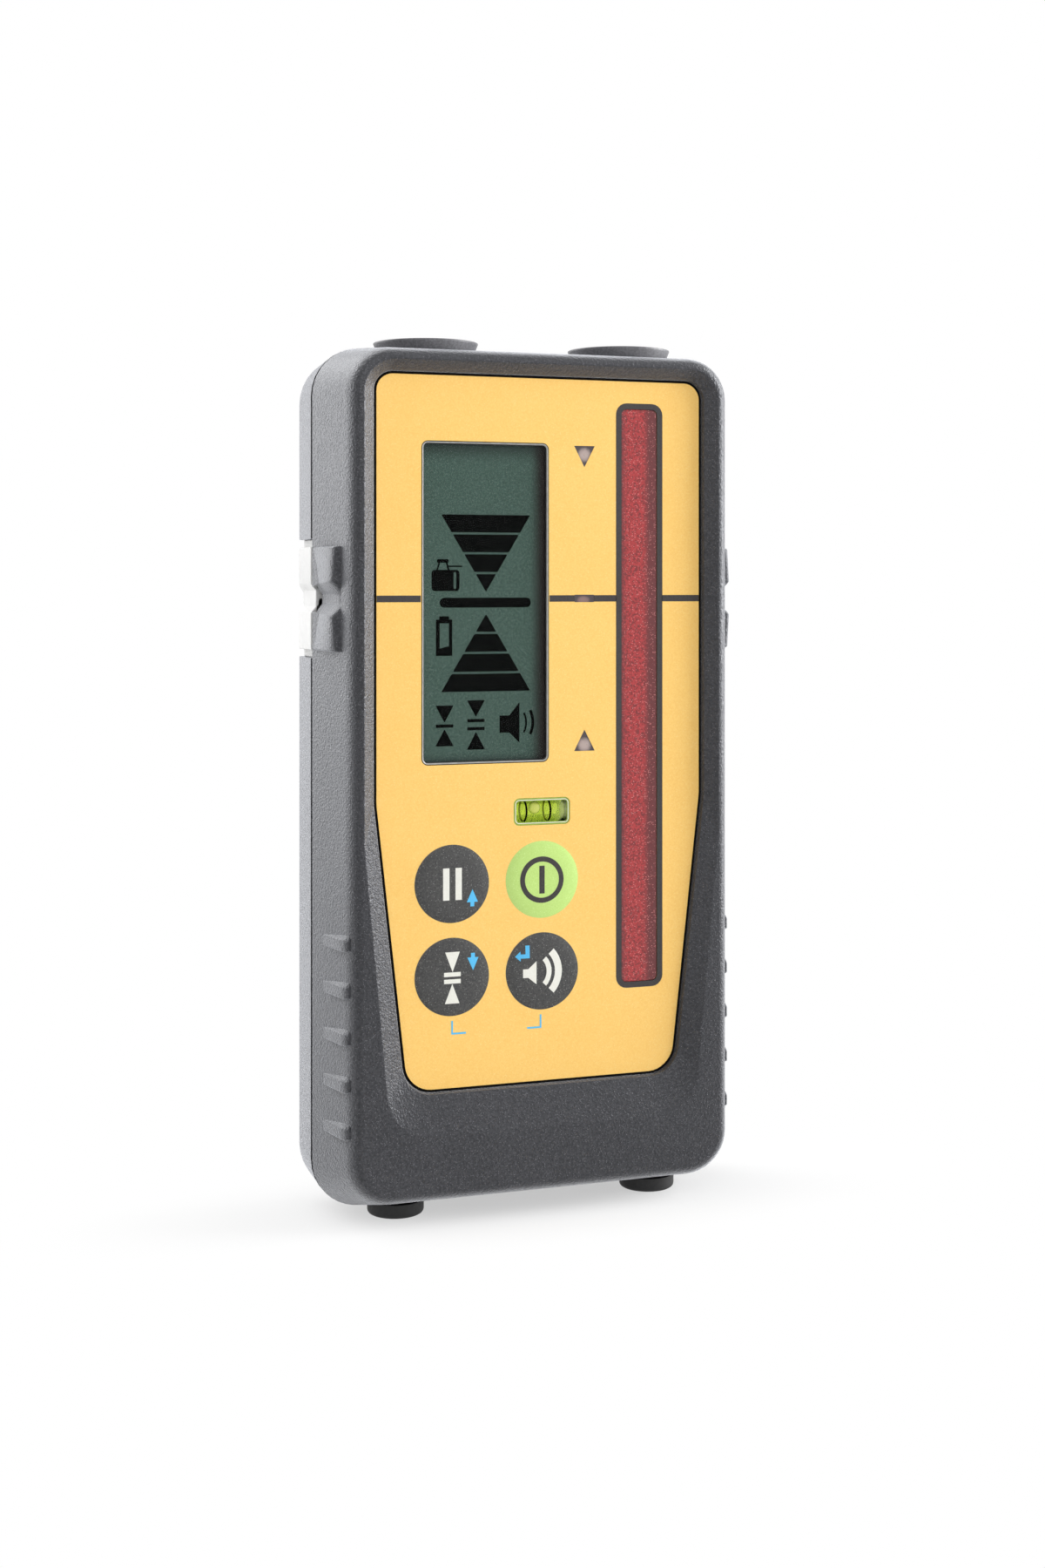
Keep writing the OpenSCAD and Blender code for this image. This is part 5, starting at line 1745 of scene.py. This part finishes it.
@dataclass
class BatteryPack:
    """Cells with their jackets, and wound contact springs."""

    cell_r: float = 7.15
    cell_x: float = 7.275
    y: float = 3.75
    bay_z: float = 14.5
    spring_l: float = 2.4
    cell_l: float = 50.2
    jacket_share: float = 0.74
    tip: float = 1.4
    # Radius and height of a cell's outline: above its foot, about its shoulder and about its tip.
    cell_foot: tuple[Spot, ...] = ((0.0, 0.0), (6.2, 0.0), (6.3, 0.25), (6.8, 0.25), (7.15, 0.6))
    cell_shoulder: tuple[Spot, ...] = ((7.15, -0.7), (6.75, -0.25), (6.0, -0.25), (5.8, 0.0), (2.6, 0.0))
    cell_tip: tuple[Spot, ...] = ((2.6, -0.2), (2.35, 0.0), (0.0, 0.0))
    wire_r: float = 0.28
    wire_sides: int = 8
    spring_r: Spot = (4.2, 2.4)
    turns: int = 3
    turn_steps: int = 24

    def cell(self, side: int, way: Way) -> tuple[Former, Former]:
        """One cell.

        Args:
            side: 1 for the right cell, and -1 for the left one.
            way: where its terminal points.

        Returns:
            Its jacket, and its bright end with the terminal.
        """
        base = self.bay_z + self.spring_l + (0 if way is Way.UP else self.cell_l)
        spot, axis = (side * self.cell_x, self.y, base), (0, 0, way.value)
        r, can = self.cell_r, self.cell_l - self.tip
        split, end = can * self.jacket_share, can + self.tip
        jacket = [*self.cell_foot, (r, split), (0.0, split)]
        bright = [(0.0, split), (r, split), *((wide, can + rise) for wide, rise in self.cell_shoulder),
                  *((wide, end + rise) for wide, rise in self.cell_tip)]
        return Former().lathe(jacket, spot, axis), Former().lathe(bright, spot, axis)

    def spring(self, side: int) -> Former:
        """Cone spring: a round wire spun up the turns while it draws in.

        Args:
            side: 1 for the right spring, and -1 for the left one.

        Returns:
            The spring.
        """
        former = Former()
        steps = self.turn_steps * self.turns
        loops = []
        for i in range(steps + 1):
            share = i / steps
            r = self.spring_r[0] + (self.spring_r[1] - self.spring_r[0]) * share
            turn = Matrix.Rotation(math.tau * self.turns * share, 4, "Z")
            rise = self.bay_z + self.wire_r + (self.spring_l - 2 * self.wire_r) * share
            spot = Matrix.Translation(Vector((side * self.cell_x, self.y, rise)) * MM)
            stand = Matrix.Translation(Vector((r, 0, 0)) * MM) @ Matrix.Rotation(math.pi / 2, 4, "X")
            made = bmesh.ops.create_circle(former.bm, cap_ends=False, segments=self.wire_sides,
                                           radius=self.wire_r * MM, matrix=spot @ turn @ stand)
            loops.append(list({edge for vert in made["verts"] for edge in vert.link_edges}))
        former.skin(loops)
        former.cap(loops[0])
        former.cap(loops[-1])
        return former

    def build(self) -> None:
        """Build both cells and both springs."""
        jackets, ends, springs = Former(), Former(), Former()
        for side, way in ((-1, Way.UP), (1, Way.DOWN)):
            jacket, bright = self.cell(side, way)
            for whole, one in ((jackets, jacket), (ends, bright), (springs, self.spring(side))):
                whole.join(one)
        place("cell_jackets", jackets, CELL_JACKET, replaces=["battery_cells"], angle=40)
        place("cell_ends", ends, CELL_BAND, angle=40)
        place("cell_springs", springs, STEEL, replaces=["battery_springs"], angle=60)


@dataclass
class Back:
    """Rear shell, battery door and its hardware, and the pieces inside that keep their CAD shape."""

    lid_soft: float = 0.2
    screw_soft: float = 0.1
    carried: Mapping[str, Finish] = field(default_factory=lambda: {
        "main_board": BOARD, "sensor_board": BOARD, "board_link": PLUG, "photodiodes": CHIP,
        "indicator_leds": LAMP, "switch_domes": STEEL, "buzzer": CHIP, "battery_plates": STEEL,
        "door_gasket": SEAL_BLACK, "hinge_pin": STEEL, "board_screws": STEEL})

    def build(self) -> None:
        """Dress the back and the pieces inside."""
        room = FrontCase().wing_room()
        from_node("shell_gasket", "case_seal", SEAL_BLACK, Body.CASE, tool=room)
        from_node("rear_shell", "rear_case", REAR_PLASTIC, Body.CASE)
        from_node("battery_door", "battery_lid", REAR_PLASTIC, Body.DOOR, self.lid_soft)
        from_node("door_screw", "lid_screw", STEEL, Body.SCREW, self.screw_soft)
        from_node("clamp_insert", "clamp_thread", BRASS, Body.CASE, self.lid_soft)
        from_node("case_screws", "case_screw_set", STEEL, Body.CASE, self.screw_soft)
        for node, finish in self.carried.items():
            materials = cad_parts[node].data.materials
            for i in range(len(materials)):
                materials[i] = material_of(finish)


@dataclass
class Studio:
    """Pale floor, soft lamps and the camera at the photograph's angle."""

    lens: float = 48.6
    sensor: float = 36.0
    shift_y: float = -0.1289
    camera_spot: Place = (-129.3, -355.9, 109.9)
    heading: float = -20.0
    near_clip: float = 10.0
    # Name, place, size and power of each lamp.
    lamps: tuple[tuple[str, Place, Spot, float], ...] = (
        ("back_left_softbox", (-540, 470, 350), (600, 700), 3.7),
        ("right_softbox", (640, -150, 170), (420, 800), 10.4),
        ("front_softbox", (-160, -640, 520), (500, 500), 1.6),
        ("top_softbox", (-220, 320, 600), (500, 500), 1.9))
    aim: Place = (0, 0, 75)
    white: Colour = (1, 1, 1, 1)
    world_level: float = 0.3
    floor_half: float = 3000.0
    floor_t: float = 20.0
    floor_colour: Colour = (0.8, 0.8, 0.8, 1)
    floor_glow: float = 0.52
    floor_fade: Spot = (4, 30)
    floor_stretch: Place = (0.33, 1, 1)

    def floor(self) -> None:
        """Lay a pale floor that shows the object's soft shadow on a white ground."""
        plan = window(0, -self.floor_t / 2, 2 * self.floor_half, self.floor_t)
        former = Former().loft([(plan, -self.floor_half), (plan, self.floor_half)])
        floor = bpy.data.objects.new("floor", former.mesh("floor"))
        bpy.context.scene.collection.objects.link(floor)
        graph = Graph("floor_white")
        matt = graph.add("ShaderNodeBsdfDiffuse", None, {"Color": self.floor_colour})
        glow = graph.add("ShaderNodeEmission", None, {"Color": self.white, "Strength": 1.0})
        drawn = graph.add("ShaderNodeVectorMath", {"operation": "MULTIPLY"},
                          {0: graph.spots, 1: self.floor_stretch})
        away = graph.signal("ShaderNodeVectorMath", {"operation": "LENGTH"}, {0: drawn.outputs[0]}, "Value")
        fade = away.step(*(reach * MM for reach in self.floor_fade))
        share = self.floor_glow + fade * (1 - self.floor_glow)
        sockets = {0: graph.seen() * share, 1: matt.outputs[0], 2: glow.outputs[0]}
        mix = graph.add("ShaderNodeMixShader", None, sockets)
        graph.add("ShaderNodeOutputMaterial", None, {"Surface": mix.outputs[0]})
        floor.data.materials.append(graph.owner)

    def world(self) -> None:
        """Hang a world that is white where it is seen and dimmer as light."""
        graph = Graph("studio", world=True)
        level = self.world_level + graph.seen() * (1 - self.world_level)
        back = graph.add("ShaderNodeBackground", None, {"Color": self.white, "Strength": level})
        graph.add("ShaderNodeOutputWorld", None, {"Surface": back.outputs[0]})
        bpy.context.scene.world = graph.owner

    def light(self) -> None:
        """Hang the soft lamps."""
        for name, spot, size, power in self.lamps:
            lamp = bpy.data.lights.new(name, "AREA")
            lamp.shape = "RECTANGLE"
            lamp.size, lamp.size_y = size[0] * MM, size[1] * MM
            lamp.energy = power
            obj = bpy.data.objects.new(name, lamp)
            obj.location = Vector(spot) * MM
            obj.rotation_euler = (Vector(self.aim) - Vector(spot)).to_track_quat("-Z", "Y").to_euler()
            bpy.context.scene.collection.objects.link(obj)

    def shoot(self) -> None:
        """Set the camera."""
        camera = bpy.data.cameras.new("camera")
        camera.lens, camera.sensor_width = self.lens, self.sensor
        camera.shift_y, camera.clip_start = self.shift_y, self.near_clip * MM
        obj = bpy.data.objects.new("camera", camera)
        obj.location = Vector(self.camera_spot) * MM
        obj.rotation_euler = (math.pi / 2, 0, math.radians(self.heading))
        bpy.context.scene.collection.objects.link(obj)
        bpy.context.scene.camera = obj
        bpy.context.scene.view_settings.view_transform = "Standard"

    def build(self) -> None:
        """Set the stage."""
        self.floor()
        self.world()
        self.light()
        self.shoot()


def main() -> None:
    """Build every sub-assembly in order."""
    logging.basicConfig(level=logging.INFO, format="%(message)s")
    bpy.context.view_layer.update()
    for part in (FrontCase(), PanelFilm(), Keypad(), Display(), SensorWindow(), Vial(), SideInserts(),
                 Stands(), BatteryPack(), Back(), Studio()):
        part.build()


if __name__ == "__main__":
    main()
